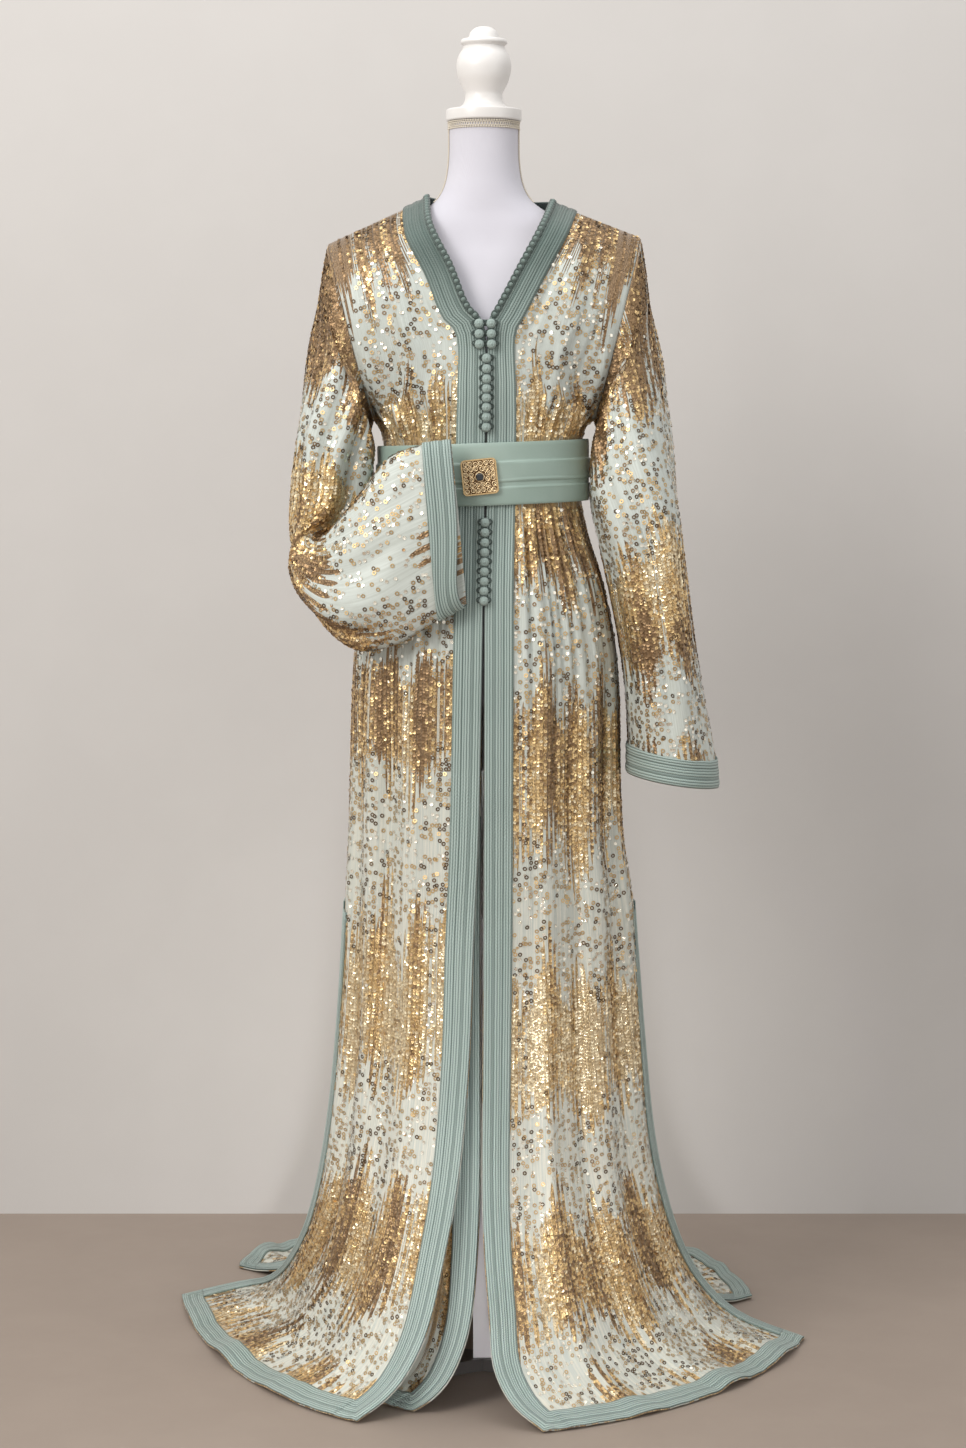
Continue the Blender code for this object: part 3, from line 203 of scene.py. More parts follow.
BACK_FOLDS = table(
    Fold, (-0.72, -0.76, 0.1, 0.008, 0.45, 2.1), (-0.5, -0.52, 0.09, -0.006, 0.5, 1.6),
    (-0.3, -0.34, 0.11, 0.009, 0.46, 2.1), (-0.06, -0.08, 0.1, -0.006, 0.6, 1.65),
    (0.14, 0.16, 0.11, 0.009, 0.46, 2), (0.38, 0.42, 0.1, -0.005, 0.52, 1.6),
    (0.6, 0.64, 0.11, 0.008, 0.46, 2.1), (-0.4, -0.1, 0.14, 0.004, 0.06, 0.35),
    (0.42, 0.12, 0.14, 0.004, 0.06, 0.35),
    (-0.9, -0.86, 0.035, 0.003, 0.43, 1.1), (-0.62, -0.6, 0.03, -0.003, 0.44, 0.96),
    (-0.4, -0.42, 0.035, 0.003, 0.43, 1.24), (-0.18, -0.2, 0.03, -0.0028, 0.42, 0.88),
    (0.05, 0.06, 0.035, 0.003, 0.43, 1.16), (0.27, 0.28, 0.03, -0.003, 0.44, 1),
    (0.5, 0.5, 0.035, 0.0032, 0.42, 0.92), (0.75, 0.72, 0.03, -0.0028, 0.44, 1.2),
    (-0.95, -0.55, 0.06, 0.0034, 0.16, 0.35), (0.93, 0.52, 0.06, 0.0034, 0.15, 0.35),
    (-0.6, -0.66, 0.05, -0.004, 1.1, 1.95), (-0.2, -0.24, 0.05, 0.004, 1.2, 2),
    (0.25, 0.3, 0.05, -0.004, 1.1, 1.95), (0.7, 0.76, 0.05, 0.004, 1.15, 1.95))

# sleeves as rings: outer and inner point from the front, depth from it, half depth
SLEEVES = {
    LEFT: table(
        Ring, (0, -0.189, 1.412, -0.135, 1.2, 0.005, 0.066),
        (0.09, -0.204, 1.325, -0.143, 1.168, 0.004, 0.072),
        (0.2, -0.222, 1.212, -0.137, 1.124, -0.01, 0.067),
        (0.3, -0.235, 1.115, -0.142, 1.084, -0.015, 0.061),
        (0.37, -0.2345, 1.05, -0.162, 1.056, -0.028, 0.055),
        (0.43, -0.216, 1, -0.176, 1.05, -0.05, 0.048),
        (0.49, -0.187, 0.952, -0.163, 1.076, -0.082, 0.04),
        (0.54, -0.152, 0.925, -0.143, 1.112, -0.108, 0.033),
        (0.6, -0.104, 0.932, -0.113, 1.152, -0.124, 0.026),
        (0.66, -0.057, 0.96, -0.074, 1.168, -0.13, 0.019),
        (0.7, -0.02, 0.981, -0.038, 1.173, -0.131, 0.017)),
    RIGHT: table(
        Ring, (0, 0.192, 1.42, 0.137, 1.2, 0.005, 0.066),
        (0.09, 0.206, 1.325, 0.146, 1.165, 0.005, 0.0725),
        (0.2, 0.222, 1.218, 0.134, 1.106, -0.01, 0.077),
        (0.3, 0.234, 1.121, 0.143, 1.047, -0.03, 0.077),
        (0.39, 0.246, 1.032, 0.156, 0.988, -0.03, 0.078),
        (0.49, 0.26, 0.928, 0.171, 0.908, -0.026, 0.078),
        (0.57, 0.274, 0.849, 0.178, 0.842, -0.022, 0.077),
        (0.635, 0.2865, 0.784, 0.1797, 0.803, -0.02, 0.077),
        (0.673, 0.2895, 0.748, 0.1797, 0.766, -0.02, 0.077)),
}
# the same for a sleeve: the place is round it, 0 at the outer side and 0.5 at the inner side
SLEEVE_FOLDS = {
    LEFT: table(
        Fold, (0.16, 0.2, 0.1, 0.006, 0.05, 0.45), (0.32, 0.34, 0.08, -0.006, 0.1, 0.4),
        (0.24, 0.14, 0.09, 0.006, 0.4, 0.64), (0.78, 0.76, 0.12, 0.006, 0.05, 0.4),
        (0.21, 0.205, 0.032, -0.01, 0.05, 0.45), (0.262, 0.262, 0.034, 0.005, 0.06, 0.42),
        (0.315, 0.34, 0.034, -0.0095, 0.07, 0.42), (0.4, 0.4, 0.036, 0.0045, 0.08, 0.38),
        (0.15, 0.14, 0.04, 0.004, 0.03, 0.38), (0.08, 0.1, 0.045, -0.004, 0.04, 0.36),
        (0.5, 0.5, 0.06, 0.006, 0.16, 0.38), (0.455, 0.43, 0.04, -0.007, 0.3, 0.5),
        (0.12, 0.19, 0.04, 0.005, 0.4, 0.62), (0.2, 0.27, 0.035, -0.0045, 0.42, 0.63),
        (0.05, 0.11, 0.04, -0.0045, 0.36, 0.6), (0.34, 0.33, 0.045, -0.004, 0.44, 0.66),
        (0.9, 0.86, 0.05, 0.0035, 0.1, 0.5), (0.62, 0.66, 0.05, -0.0035, 0.06, 0.44)),
    RIGHT: table(
        Fold, (0.14, 0.18, 0.09, 0.006, 0.05, 0.66), (0.32, 0.3, 0.09, -0.005, 0.08, 0.6),
        (0.7, 0.72, 0.1, 0.006, 0.05, 0.66),
        (0.06, 0.09, 0.045, 0.004, 0.03, 0.44), (0.23, 0.25, 0.04, -0.007, 0.06, 0.64),
        (0.36, 0.34, 0.045, 0.0045, 0.04, 0.5), (0.44, 0.42, 0.04, -0.006, 0.12, 0.6),
        (0.12, 0.15, 0.04, -0.003, 0.34, 0.7), (0.6, 0.62, 0.05, 0.0035, 0.06, 0.5),
        (0.82, 0.8, 0.05, -0.0035, 0.1, 0.66), (0.94, 0.95, 0.05, 0.0035, 0.05, 0.55)),
}

# the inner layer is the left front's surface moved by x and y, and in by z
INNER_WIDTH = 0.27
INNER_TOP = 0.392
INNER_SHIFT = table(
    Point, (0.392, 0, 0, 0.0036), (0.44, 0, 0, 0.0064), (0.626, 0, 0, 0.01),
    (0.826, 0.002, 0, 0.011), (0.953, 0.006, 0, 0.011), (1.107, 0.011, 0, 0.011),
    (1.245, 0.022, 0, 0.012), (1.358, 0.036, 0, 0.013), (1.432, 0.044, 0.004, 0.012),
    (1.487, 0.05, 0.01, 0.01), (1.521, 0.054, 0.018, 0.007), (1.57, 0.066, 0.038, 0.001))


# ---- curves
TINY = 1e-9


def curve(rows, along):
    """Points of the smooth line through a table, for an array of `along`."""
    knots = np.array([row.along for row in rows])
    spots = np.array([(row.x, row.y, row.z) for row in rows])
    last = len(rows) - 1
    step = np.clip(np.searchsorted(knots, along, side="left") - 1, 0, last - 1)
    before = np.clip(step - 1, 0, last)
    after = np.clip(step + 2, 0, last)
    span = knots[step + 1] - knots[step]
    part = (np.asarray(along) - knots[step]) / span

    def slope(low, high):
        rate = span / (knots[high] - knots[low])
        return (spots[high] - spots[low]) * rate[..., None]

    part = part[..., None]
    square = part * part
    cube = square * part
    return (spots[step] * (2 * cube - 3 * square + 1)
            + slope(before, step + 1) * (cube - 2 * square + part)
            + spots[step + 1] * (3 * square - 2 * cube)
            + slope(step, after) * (cube - square))


def value(rows, along):
    """A table's value at each `along`, straight between its rows."""
    return np.interp(along, [row.along for row in rows], [row.value for row in rows])


def ease(part):
    """0 to 1, with a soft start and a soft end."""
    part = np.clip(part, 0.0, 1.0)
    return part * part * (3 - 2 * part)


def lengths(vectors):
    return np.sqrt((vectors * vectors).sum(-1))


def distances(path):
    """Metres along a line of points, from its first one."""
    return np.concatenate(([0.0], np.cumsum(lengths(np.diff(path, axis=0)))))


def point_at(distance, covered, path):
    """The point this far along a line of points."""
    return np.array([np.interp(distance, covered, path[:, axis]) for axis in range(3)])


def unit(vectors):
    return vectors / np.maximum(lengths(vectors), TINY)[..., None]


def mix(first, second, share):
    share = np.asarray(share)[..., None]
    return first * (1 - share) + second * share


FOLD_ENDS = 5  # a fold rises, and dies away, over a fifth of its length


def fold_height(folds, across, along, around=False):
    """Height of all the folds at each point of a piece."""
    height = np.zeros(np.broadcast(across, along).shape)
    for fold in folds:
        part = (along - fold.start) / (fold.end - fold.start)
        off = across - (fold.top + (fold.low - fold.top) * part)
        if around:
            off = (off + 0.5) % 1 - 0.5
        shape = 0.5 + 0.5 * np.cos(pi * np.clip(off / fold.wide, -1, 1))
        height += fold.deep * shape * ease(part * FOLD_ENDS) * ease((1 - part) * FOLD_ENDS)
    return height


def arc(centre, side, roundness, u):
    """Points u of the way from a centre line to a side line."""
    swing = u * pi / 2
    ellipse = np.stack((centre[..., 0] + (side[..., 0] - centre[..., 0]) * np.sin(swing),
                        side[..., 1] + (centre[..., 1] - side[..., 1]) * np.cos(swing),
                        centre[..., 2] + (side[..., 2] - centre[..., 2]) * u), -1)
    return mix(mix(centre, side, u), ellipse, roundness)


def armhole(hand, along, facing):
    """The armhole in front (facing -1) or behind (1), from shoulder to armpit."""
    swing = pi * np.clip(along, 0, ARMPIT) / ARMPIT
    tip = np.array(SHOULDER_TIP[hand])
    under = np.array(UNDERARM[hand])
    place = (tip + under) / 2 + (tip - under) / 2 * np.cos(swing)[..., None]
    place[..., 1] += facing * ARMHOLE_DEPTH * np.sin(swing)
    return place


def side_line(hand, along, facing):
    """The outer edge of a front or of the back: armhole, side seam, then slit."""
    slit = (FRONT_SLIT if facing < 0 else BACK_SLIT)[hand]
    upper = (along <= ARMPIT)[..., None]
    middle = (along <= SLIT)[..., None]
    lower = np.where(middle, curve(SIDE_SEAM[hand], along), curve(slit, along))
    return np.where(upper, armhole(hand, along, facing), lower)


# ---- surfaces
def front_base(hand, u, along):
    """Points of a front; u runs from 0 at its front edge to 1 at its side."""
    centre = curve(FRONT_EDGE[hand], along)
    return arc(centre, side_line(hand, along, -1), value(FRONT_ROUND, along), u)


def neck_end(hand):
    """Where the neck band meets the shoulder seam: its inner and its outer corner."""
    inner = curve(FRONT_EDGE[hand], np.zeros(1))[0]
    outward = unit(np.array(SHOULDER_TIP[hand]) - inner)
    return inner, inner + outward * FRONT_BAND


def back_top(hand, u):
    """Top edge of the back: under the neck band, then along the shoulder seam."""
    corner = neck_end(hand)[1]
    start = curve(BACK_CENTRE, np.zeros(1))[0]
    under_neck = arc(np.broadcast_to(start, u.shape + (3,)), np.broadcast_to(corner, u.shape + (3,)),
                     np.ones(u.shape), np.clip(u / NECK_SHARE, 0, 1))
    share = np.clip((u - NECK_SHARE) / (1 - NECK_SHARE), 0, 1)
    seam = mix(np.broadcast_to(corner, u.shape + (3,)), np.array(SHOULDER_TIP[hand]), share)
    return np.where((u < NECK_SHARE)[..., None], under_neck, seam)


def back_half(hand, u, along):
    centre = curve(BACK_CENTRE, along)
    place = arc(centre, side_line(hand, along, 1), value(BACK_ROUND, along), u)
    top_share = 1 - ease(along / YOKE)
    top = np.zeros(np.shape(along))
    start = arc(curve(BACK_CENTRE, top), side_line(hand, top, 1), value(BACK_ROUND, top), u)
    return place + (back_top(hand, u) - start) * top_share[..., None]


def back_base(u, along):
    """Points of the back; u runs from -1 at its left side to 1 at its right side."""
    left = back_half(LEFT, np.clip(-u, 0, 1), along)
    right = back_half(RIGHT, np.clip(u, 0, 1), along)
    return np.where((u < 0)[..., None], left, right)


def net_normals(points):
    """Unit normals of a net of points, rows by columns."""
    across = np.gradient(points, axis=1)
    down = np.gradient(points, axis=0)
    return unit(np.cross(down, across))


def raised(points, height, turn):
    """The net moved out along its normals, and kept off the floor."""
    moved = points + net_normals(points) * turn * height[..., None]
    moved[..., 2] = np.maximum(moved[..., 2], FLOOR)
    return moved


# ---- nets of points
EDGE_COLUMNS = 12  # columns of points under a front band, and rows under a hem band
SIDE_COLUMNS = 9
FRONT_MIDDLE = 72
BACK_MIDDLE = 116
BLEND_ROWS = 14  # rows between the level ones and the hem's band
BLEND = 0.22  # along, the stretch that they cover
INNER_MIDDLE = 12
FINE_COLUMNS = 97  # samples that distances are measured on
FINE_ROWS = 240
HEM_REACH = 0.13  # along, the stretch that holds the hem's band
HEM_SAMPLES = 66

Net = namedtuple("Net", "points normals along line edge")


def columns_at(surface, ends, plan, along):
    """u of each column at each `along`; plan(total, along) gives the distances across."""
    fine = np.linspace(*ends, FINE_COLUMNS)
    across, down = np.meshgrid(fine, along)
    covered = sums_across(lengths(np.diff(surface(across, down), axis=1)))
    return np.array([np.interp(plan(line[-1], place), line, fine)
                     for line, place in zip(covered, along)])


def by_column(wanted, known, table):
    """Each column of a table, read at that column's own places."""
    count = table.shape[1]
    return np.stack([np.interp(wanted[:, c], known, table[:, c]) for c in range(count)], 1)


def lay_net(surface, ends, plan, top, hem):
    """u and `along` of every point: level rows, then a hem's band of even width."""
    samples = np.linspace(top, hem, FINE_ROWS)
    table = columns_at(surface, ends, plan, samples)
    count = table.shape[1]
    low = np.linspace(hem - HEM_REACH, hem, HEM_SAMPLES)
    low_along = np.repeat(low[:, None], count, 1)
    spots = surface(by_column(low_along, samples, table), low_along)
    above_hem = sums_up(lengths(np.diff(spots, axis=0)))
    band = np.linspace(HEM_BAND, 0, EDGE_COLUMNS + 1)
    band_along = np.stack([np.interp(band, above_hem[::-1, c], low[::-1]) for c in range(count)], 1)
    level = np.linspace(top, hem - BLEND, round((hem - BLEND - top) / ROW_STEP) + 1)
    share = np.linspace(0, 1, BLEND_ROWS + 1)[1:-1, None]
    between = level[-1] + (band_along[0] - level[-1]) * share
    along = np.vstack((np.repeat(level[:, None], count, 1), between, band_along))
    return by_column(along, samples, table), along


def sums_across(steps):
    return np.hstack((np.zeros((len(steps), 1)), np.cumsum(steps, 1)))


def sums_up(steps):
    return np.vstack((np.cumsum(steps[::-1], 0)[::-1], np.zeros((1, steps.shape[1]))))


def edge_distance(points):
    """Metres across a net from its first column, from its last, and up from its hem."""
    first = sums_across(lengths(np.diff(points, axis=1)))
    return first, first[:, -1:] - first, sums_up(lengths(np.diff(points, axis=0)))


def plan_columns(near, middle, far, near_width, far_width):
    """A plan of columns: some under each edge's band, the rest evenly between."""
    def plan(total, along):
        seam = SEAM / 4 if along <= SLIT else 0.0
        first = seam if near_width == SIDE_BAND else 0.0
        last = total - (seam if far_width else 0.0)
        parts = [np.linspace(first, first + near_width, near + 1)]
        parts.append(np.linspace(parts[0][-1], last - far_width, middle + 1)[1:])
        if far:
            parts.append(np.linspace(last - far_width, last, far + 1)[1:])
        return np.concatenate(parts)

    return plan


def gather_waves(share, waves, start):
    """Uneven waves across a piece, flat at both ends."""
    drift = 0.30 * np.sin(tau * (share * 2.3 + start)) + 0.16 * np.sin(tau * (share * 5.1 + 2 * start))
    size = 1.0 + 0.30 * np.sin(tau * (share * 3.7 + 0.4 + start))
    window = ease(share * waves / 0.9) * ease((1 - share) * waves / 0.9)
    return np.cos(tau * (waves * share + drift)) * size * window


HEM_SLACK = 0.0016  # mean height of the waves in a hem
HEM_SLACK_TOP = 0.16  # where they end above the hem, and how softly
HEM_SLACK_FADE = 0.14
HEM_WAVES = ((58, 0.0, 1.0), (97, 1.7, 0.7), (171, 0.4, 0.5))  # rate, start and size


def hem_waves(line, up):
    """The slack of a heavy hem that lies on the floor."""
    wave = sum(size * np.sin(line * rate + start) for rate, start, size in HEM_WAVES)
    total = sum(size for rate, start, size in HEM_WAVES)
    return HEM_SLACK * (1 + wave / total) * ease((HEM_SLACK_TOP - up) / HEM_SLACK_FADE)


WAVE_SHIFT = 0.21  # so that the gathers of two pieces aren't alike


def build_net(surface, ends, plan, top, hem, folds, waves, turn, first, last):
    """The finished net of one panel: its points, normals and pattern coordinates."""
    u, along = lay_net(surface, ends, plan, top, hem)
    base = surface(u, along)
    columns = np.arange(u.shape[1])
    share = ((columns - first) / (last - first))[None, :] + 0 * u
    line = share * LINE_WIDTH * max(1.0, waves / WAVE_COUNT)
    share = np.clip(share, 0, 1)
    up = edge_distance(base)[2]
    height = fold_height(folds, u, along) + hem_waves(line, up)
    height += gather_waves(share, waves, turn * WAVE_SHIFT) * value(GATHERS, along)
    points = raised(base, height, turn)
    return Net(points, net_normals(points) * turn, along, line, edge_distance(points))


def front_net(hand):
    plan = plan_columns(EDGE_COLUMNS, FRONT_MIDDLE, SIDE_COLUMNS, FRONT_BAND, SIDE_BAND)
    last = EDGE_COLUMNS + FRONT_MIDDLE

    def surface(u, along):
        return front_base(hand, u, along)

    return build_net(surface, (0.0, 1.0), plan, NECK_RIM, FRONT_HEM, FOLDS[hand],
                     GATHER_WAVES[hand], hand, EDGE_COLUMNS, last)


def back_net():
    plan = plan_columns(SIDE_COLUMNS, BACK_MIDDLE, SIDE_COLUMNS, SIDE_BAND, SIDE_BAND)
    last = SIDE_COLUMNS + BACK_MIDDLE
    return build_net(back_base, (1.0, -1.0), plan, NECK_RIM, BACK_HEM, BACK_FOLDS,
                     GATHER_WAVES[0], 1, SIDE_COLUMNS, last)


def inner_surface(u, along):
    """The inner layer: the left front's surface, moved in and to the right."""
    step = 0.002
    across = front_base(LEFT, u + step, along) - front_base(LEFT, u - step, along)
    down = front_base(LEFT, u, along + step) - front_base(LEFT, u, along - step)
    out = unit(np.cross(down, across)) * LEFT
    shift = curve(INNER_SHIFT, along)
    place = front_base(LEFT, u, along) - out * shift[..., 2:]
    place[..., :2] += shift[..., :2]
    place[..., 2] = np.maximum(place[..., 2], FLOOR)
    return place


def inner_net():
    plan = plan_columns(EDGE_COLUMNS, INNER_MIDDLE, 0, FRONT_BAND, 0.0)
    return build_net(inner_surface, (0.0, INNER_WIDTH), plan, INNER_TOP, FRONT_HEM, (), 1, LEFT,
                     EDGE_COLUMNS, EDGE_COLUMNS + INNER_MIDDLE)


# ---- sleeve nets
SLEEVE_COLUMNS = 64
SLEEVE_LINE = 0.80  # the pattern's width all round a sleeve
SLEEVE_ROW = 0.011  # from one row of a sleeve's points to the next
SLEEVE_STEP = 0.01  # to each side, for a sleeve's direction
CUFF_FADE = 1.5  # folds die away over this many widths of the cuff's band


def ring_at(hand, along):
    """Outer point, inner point and half depth of a sleeve."""
    rows = SLEEVES[hand]
    outer = curve([Point(r.along, r.out_x, r.y, r.out_z) for r in rows], along)
    inner = curve([Point(r.along, r.in_x, r.y, r.in_z) for r in rows], along)
    deep = curve([Point(r.along, r.deep, 0, 0) for r in rows], along)[..., :1]
    return outer, inner, deep


def sleeve_base(hand, around, along):
    """Points of a sleeve; around runs from 0 at its outer side, over the front, to 1."""
    end = SLEEVES[hand][-1].along
    outer, inner, deep = ring_at(hand, along)
    ahead = sum(ring_at(hand, np.minimum(along + SLEEVE_STEP, end))[:2])
    behind = sum(ring_at(hand, np.maximum(along - SLEEVE_STEP, 0.0))[:2])
    half = (outer - inner) / 2
    forward = unit(np.cross(ahead - behind, half)) * hand * deep
    angle = (around * tau)[..., None]
    return (outer + inner) / 2 + half * np.cos(angle) + forward * np.sin(angle)


# the left cuff's edge is drawn back low down, so that its mouth shows: where, how wide, how far
CUFF_LIP = 0.11
CUFF_LIP_WIDE = 0.10
CUFF_LIP_BACK = 0.009
CUFF_LIP_FORWARD = 0.6


def sleeve_net(hand):
    """The finished net of a sleeve, joined to its armhole and closed round the arm."""
    end = SLEEVES[hand][-1].along
    band_top = end - CUFF_BAND
    rows = np.concatenate((np.linspace(0, band_top, round(band_top / SLEEVE_ROW) + 1),
                           np.linspace(band_top, end, EDGE_COLUMNS + 1)[1:]))
    around, along = np.meshgrid(np.linspace(0, 1, SLEEVE_COLUMNS + 1), rows)
    place = sleeve_base(hand, around, along)
    outer, inner = ring_at(hand, along)[:2]
    height = fold_height(SLEEVE_FOLDS[hand], around, along, around=True)
    height = height * ease((end - along) / CUFF_BAND / CUFF_FADE)
    place = place + unit(place - (outer + inner) / 2) * height[..., None]
    seam_along = ARMPIT * np.minimum(around, 1 - around) * 2
    seam = np.where((around <= 0.5)[..., None], side_line(hand, seam_along, -1),
                    side_line(hand, seam_along, 1))
    further = sleeve_base(hand, around, np.full_like(around, SLEEVE_HEAD / 2))
    seam = seam + unit(further - seam) * SLEEVE_SEAM / 2
    pull = 1 - ease(along / SLEEVE_HEAD)
    place = place + (seam - sleeve_base(hand, around, np.zeros_like(around))) * pull[..., None]
    if hand == LEFT:
        axis = unit(sleeve_base(hand, around, np.full_like(around, end))
                    - sleeve_base(hand, around, np.full_like(around, end - 0.02)))
        near = np.exp(-((around - CUFF_LIP) / CUFF_LIP_WIDE) ** 2)
        slope = ease((along - end + CUFF_BAND) / CUFF_BAND) * near * CUFF_LIP_BACK
        place = place - axis * slope[..., None]
        place[..., 1] -= slope * CUFF_LIP_FORWARD
    place[:, -1] = place[:, 0]
    wrapped = np.concatenate((place[:, -2:-1], place, place[:, 1:2]), 1)
    normals = net_normals(wrapped)[:, 1:-1] * -hand
    line = around * SLEEVE_LINE
    return Net(place, normals, along, line, edge_distance(place))


# ---- meshes
WELD = 0.00001  # points nearer than this become one


def to_mesh(bm, name):
    mesh = bpy.data.meshes.new(name)
    bm.to_mesh(mesh)
    bm.free()
    return mesh


def spun(bm, steps, weld):
    """Spin everything about Z, all the way round."""
    ops.spin(bm, geom=bm.verts[:] + bm.edges[:], axis=(0, 0, 1), cent=(0, 0, 0), steps=steps,
             angle=tau, use_merge=True)
    ops.remove_doubles(bm, verts=bm.verts, dist=weld)
    ops.recalc_face_normals(bm, faces=bm.faces)


def smooth_faces(mesh):
    mesh.polygons.foreach_set("use_smooth", np.ones(len(mesh.polygons), bool))
    mesh.update()
    return mesh


def grid_mesh(name, points, uv, flip=False, closed=False):
    """Mesh of a net of points, with a UV map of real metres."""
    rows = len(points) - 1
    columns = points.shape[1] - 1
    bm = bmesh.new()
    ops.create_grid(bm, x_segments=columns, y_segments=rows, size=0.5)
    mesh = to_mesh(bm, name)
    flat = np.empty(len(mesh.vertices) * 3, np.float32)
    mesh.vertices.foreach_get("co", flat)
    spots = flat.reshape(-1, 3)
    column = np.rint((spots[:, 0] + 0.5) * columns).astype(int)
    row = np.rint((0.5 - spots[:, 1]) * rows).astype(int)
    mesh.vertices.foreach_set("co", points[row, column].astype(np.float32).ravel())
    corner = np.empty(len(mesh.loops), np.int32)
    mesh.loops.foreach_get("vertex_index", corner)
    layer = mesh.uv_layers.new(name="cloth")
    layer.uv.foreach_set("vector", uv[row[corner], column[corner]].astype(np.float32).ravel())
    if flip:
        mesh.flip_normals()
    if closed:
        bm = bmesh.new()
        bm.from_mesh(mesh)
        ops.remove_doubles(bm, verts=bm.verts, dist=WELD)
        bm.to_mesh(mesh)
        bm.free()
    return smooth_faces(mesh)


def add_object(name, data):
    obj = bpy.data.objects.new(name, data)
    bpy.context.scene.collection.objects.link(obj)
    return obj


def add_piece(name, mesh, mat, nodes=()):
    """A finished piece that rides on the garment and may stand for some solids."""
    mesh.materials.append(mat)
    obj = add_object(name, mesh)
    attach(obj, "root")
    if nodes:
        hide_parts(*nodes)
    return obj


def wall(obj, thickness, offset=0.0):
    """Give a sheet its wall: evenly to both sides, or with offset -1 behind its points."""
    solidify = obj.modifiers.new("wall", "SOLIDIFY")
    solidify.thickness = thickness
    solidify.offset = offset
    solidify.use_even_offset = False
    return obj


def cloth_piece(name, net, mat, node, flip, closed=False):
    uv = np.stack((net.line, net.along), -1)
    mesh = grid_mesh(name, net.points, uv, flip, closed)
    return wall(add_piece(name, mesh, mat, [node]), CLOTH)


RIBS = 3  # raised ribs along each braid band
CORD_RISE = 0.0011  # their height over the grooves between them
BAND_GAP = 0.0001  # between the cloth and a band's back
BAND_LIFT = CLOTH / 2 + BAND_GAP + BRAID
BAND_FLOOR = BRAID + 0.0003  # the lowest that the face of a band lies


def band_piece(name, net, rows, columns, across, along, mat, node, flip, closed=False):
    """A braid band over part of a net. across is the share of its width from the outer edge."""
    cells = (slice(rows[0], rows[1] + 1), slice(columns[0], columns[1] + 1))
    share = across[cells]
    rib = np.sqrt(np.abs(np.sin(pi * RIBS * np.clip(share, 0, 1))))
    points = net.points[cells] + net.normals[cells] * (BAND_LIFT + CORD_RISE * rib)[..., None]
    points[..., 2] = np.maximum(points[..., 2], BAND_FLOOR)
    uv = np.stack((share * FRONT_BAND, along[cells]), -1)
    mesh = grid_mesh(name, points, uv, flip, closed)
    return wall(add_piece(name, mesh, mat, [node]), BRAID, -1.0)


# ---- shader groups
class Nodes:
    """Short calls for adding and joining the nodes of one tree."""

    def __init__(self, tree):
        self.tree = tree

    def add(self, kind, **settings):
        node = self.tree.nodes.new("ShaderNode" + kind)
        for key, setting in settings.items():
            setattr(node, key, setting)
        return node

    def join(self, source, target):
        self.tree.links.new(source, target)

    def feed(self, socket, source):
        """Set a socket to a number or a colour, or join an output to it."""
        if isinstance(source, (int, float, tuple)):
            socket.default_value = source
        else:
            self.join(source, socket)

    def math(self, operation, first, second=0.0, third=0.0):
        node = self.add("Math", operation=operation)
        for socket, source in zip(node.inputs, (first, second, third)):
            self.feed(socket, source)
        return node.outputs[0]

    def times(self, first, second):
        return self.math("MULTIPLY", first, second)

    def scaled(self, source, rate, start):
        """source * rate + start"""
        return self.math("MULTIPLY_ADD", source, rate, start)

    def sine(self, angle):
        return self.math("SINE", angle)

    def blend(self, share, first, second, kind="RGBA"):
        """Mix two colours or, with kind FLOAT, two values."""
        node = self.add("Mix", data_type=kind)
        for label, source in (("Factor", share), ("A", first), ("B", second)):
            self.feed(node.inputs[label], source)
        return node.outputs["Result"]

    def parts(self, vector):
        """X, Y and Z of a vector."""
        node = self.add("SeparateXYZ")
        self.join(vector, node.inputs[0])
        return node.outputs

    def stretched(self, vector, scale):
        node = self.add("Mapping")
        node.inputs["Scale"].default_value = scale
        self.join(vector, node.inputs["Vector"])
        return node.outputs[0]

    def noise(self, vector, scale, detail=2.0, rough=0.5):
        node = self.add("TexNoise")
        self.feed(node.inputs["Vector"], vector)
        self.feed(node.inputs["Scale"], scale)
        node.inputs["Detail"].default_value = detail
        node.inputs["Roughness"].default_value = rough
        return node.outputs["Fac"]

    def smooth(self, source, low, high, to_low=0.0, to_high=1.0):
        """A soft step from to_low to to_high, between two levels of the source."""
        node = self.add("MapRange", interpolation_type="SMOOTHSTEP")
        for socket, number in zip(node.inputs, (source, low, high, to_low, to_high)):
            self.feed(socket, number)
        return node.outputs[0]


def group(name, inputs, outputs):
    """An empty node group's helper, inputs and outputs; every socket but Vector is a Float."""
    tree = bpy.data.node_groups.new(name, "ShaderNodeTree")
    for side, labels in (("INPUT", inputs), ("OUTPUT", outputs)):
        for label in labels.split():
            kind = "NodeSocketVector" if label == "Vector" else "NodeSocketFloat"
            tree.interface.new_socket(label, in_out=side, socket_type=kind)
    given = tree.nodes.new("NodeGroupInput").outputs
    return Nodes(tree), given, tree.nodes.new("NodeGroupOutput").inputs


def use(nodes, name, **values):
    """Place a group in a material; its sockets are set or joined by name."""
    node = nodes.add("Group")
    node.node_tree = bpy.data.node_groups[name]
    for label, source in values.items():
        nodes.feed(node.inputs[label.replace("_", " ")], source)
    return node.outputs


# the zones of dense sequins down the cloth: start and end of each, along the piece
ZONES = ((-0.060, 0.114), (0.268, 0.528), (0.655, 0.838), (0.962, 1.148), (1.285, 1.440),
         (1.535, 1.650), (1.745, 1.900))
ZONE_SOFT = 0.045
DRIP = 0.0098  # width of one drip of sequins, in the pattern's own line measure
STRING = DRIP / 2  # from one string of sequins to the next
CLOTH_LONG = 2.0  # along: the end of the shader's ramps
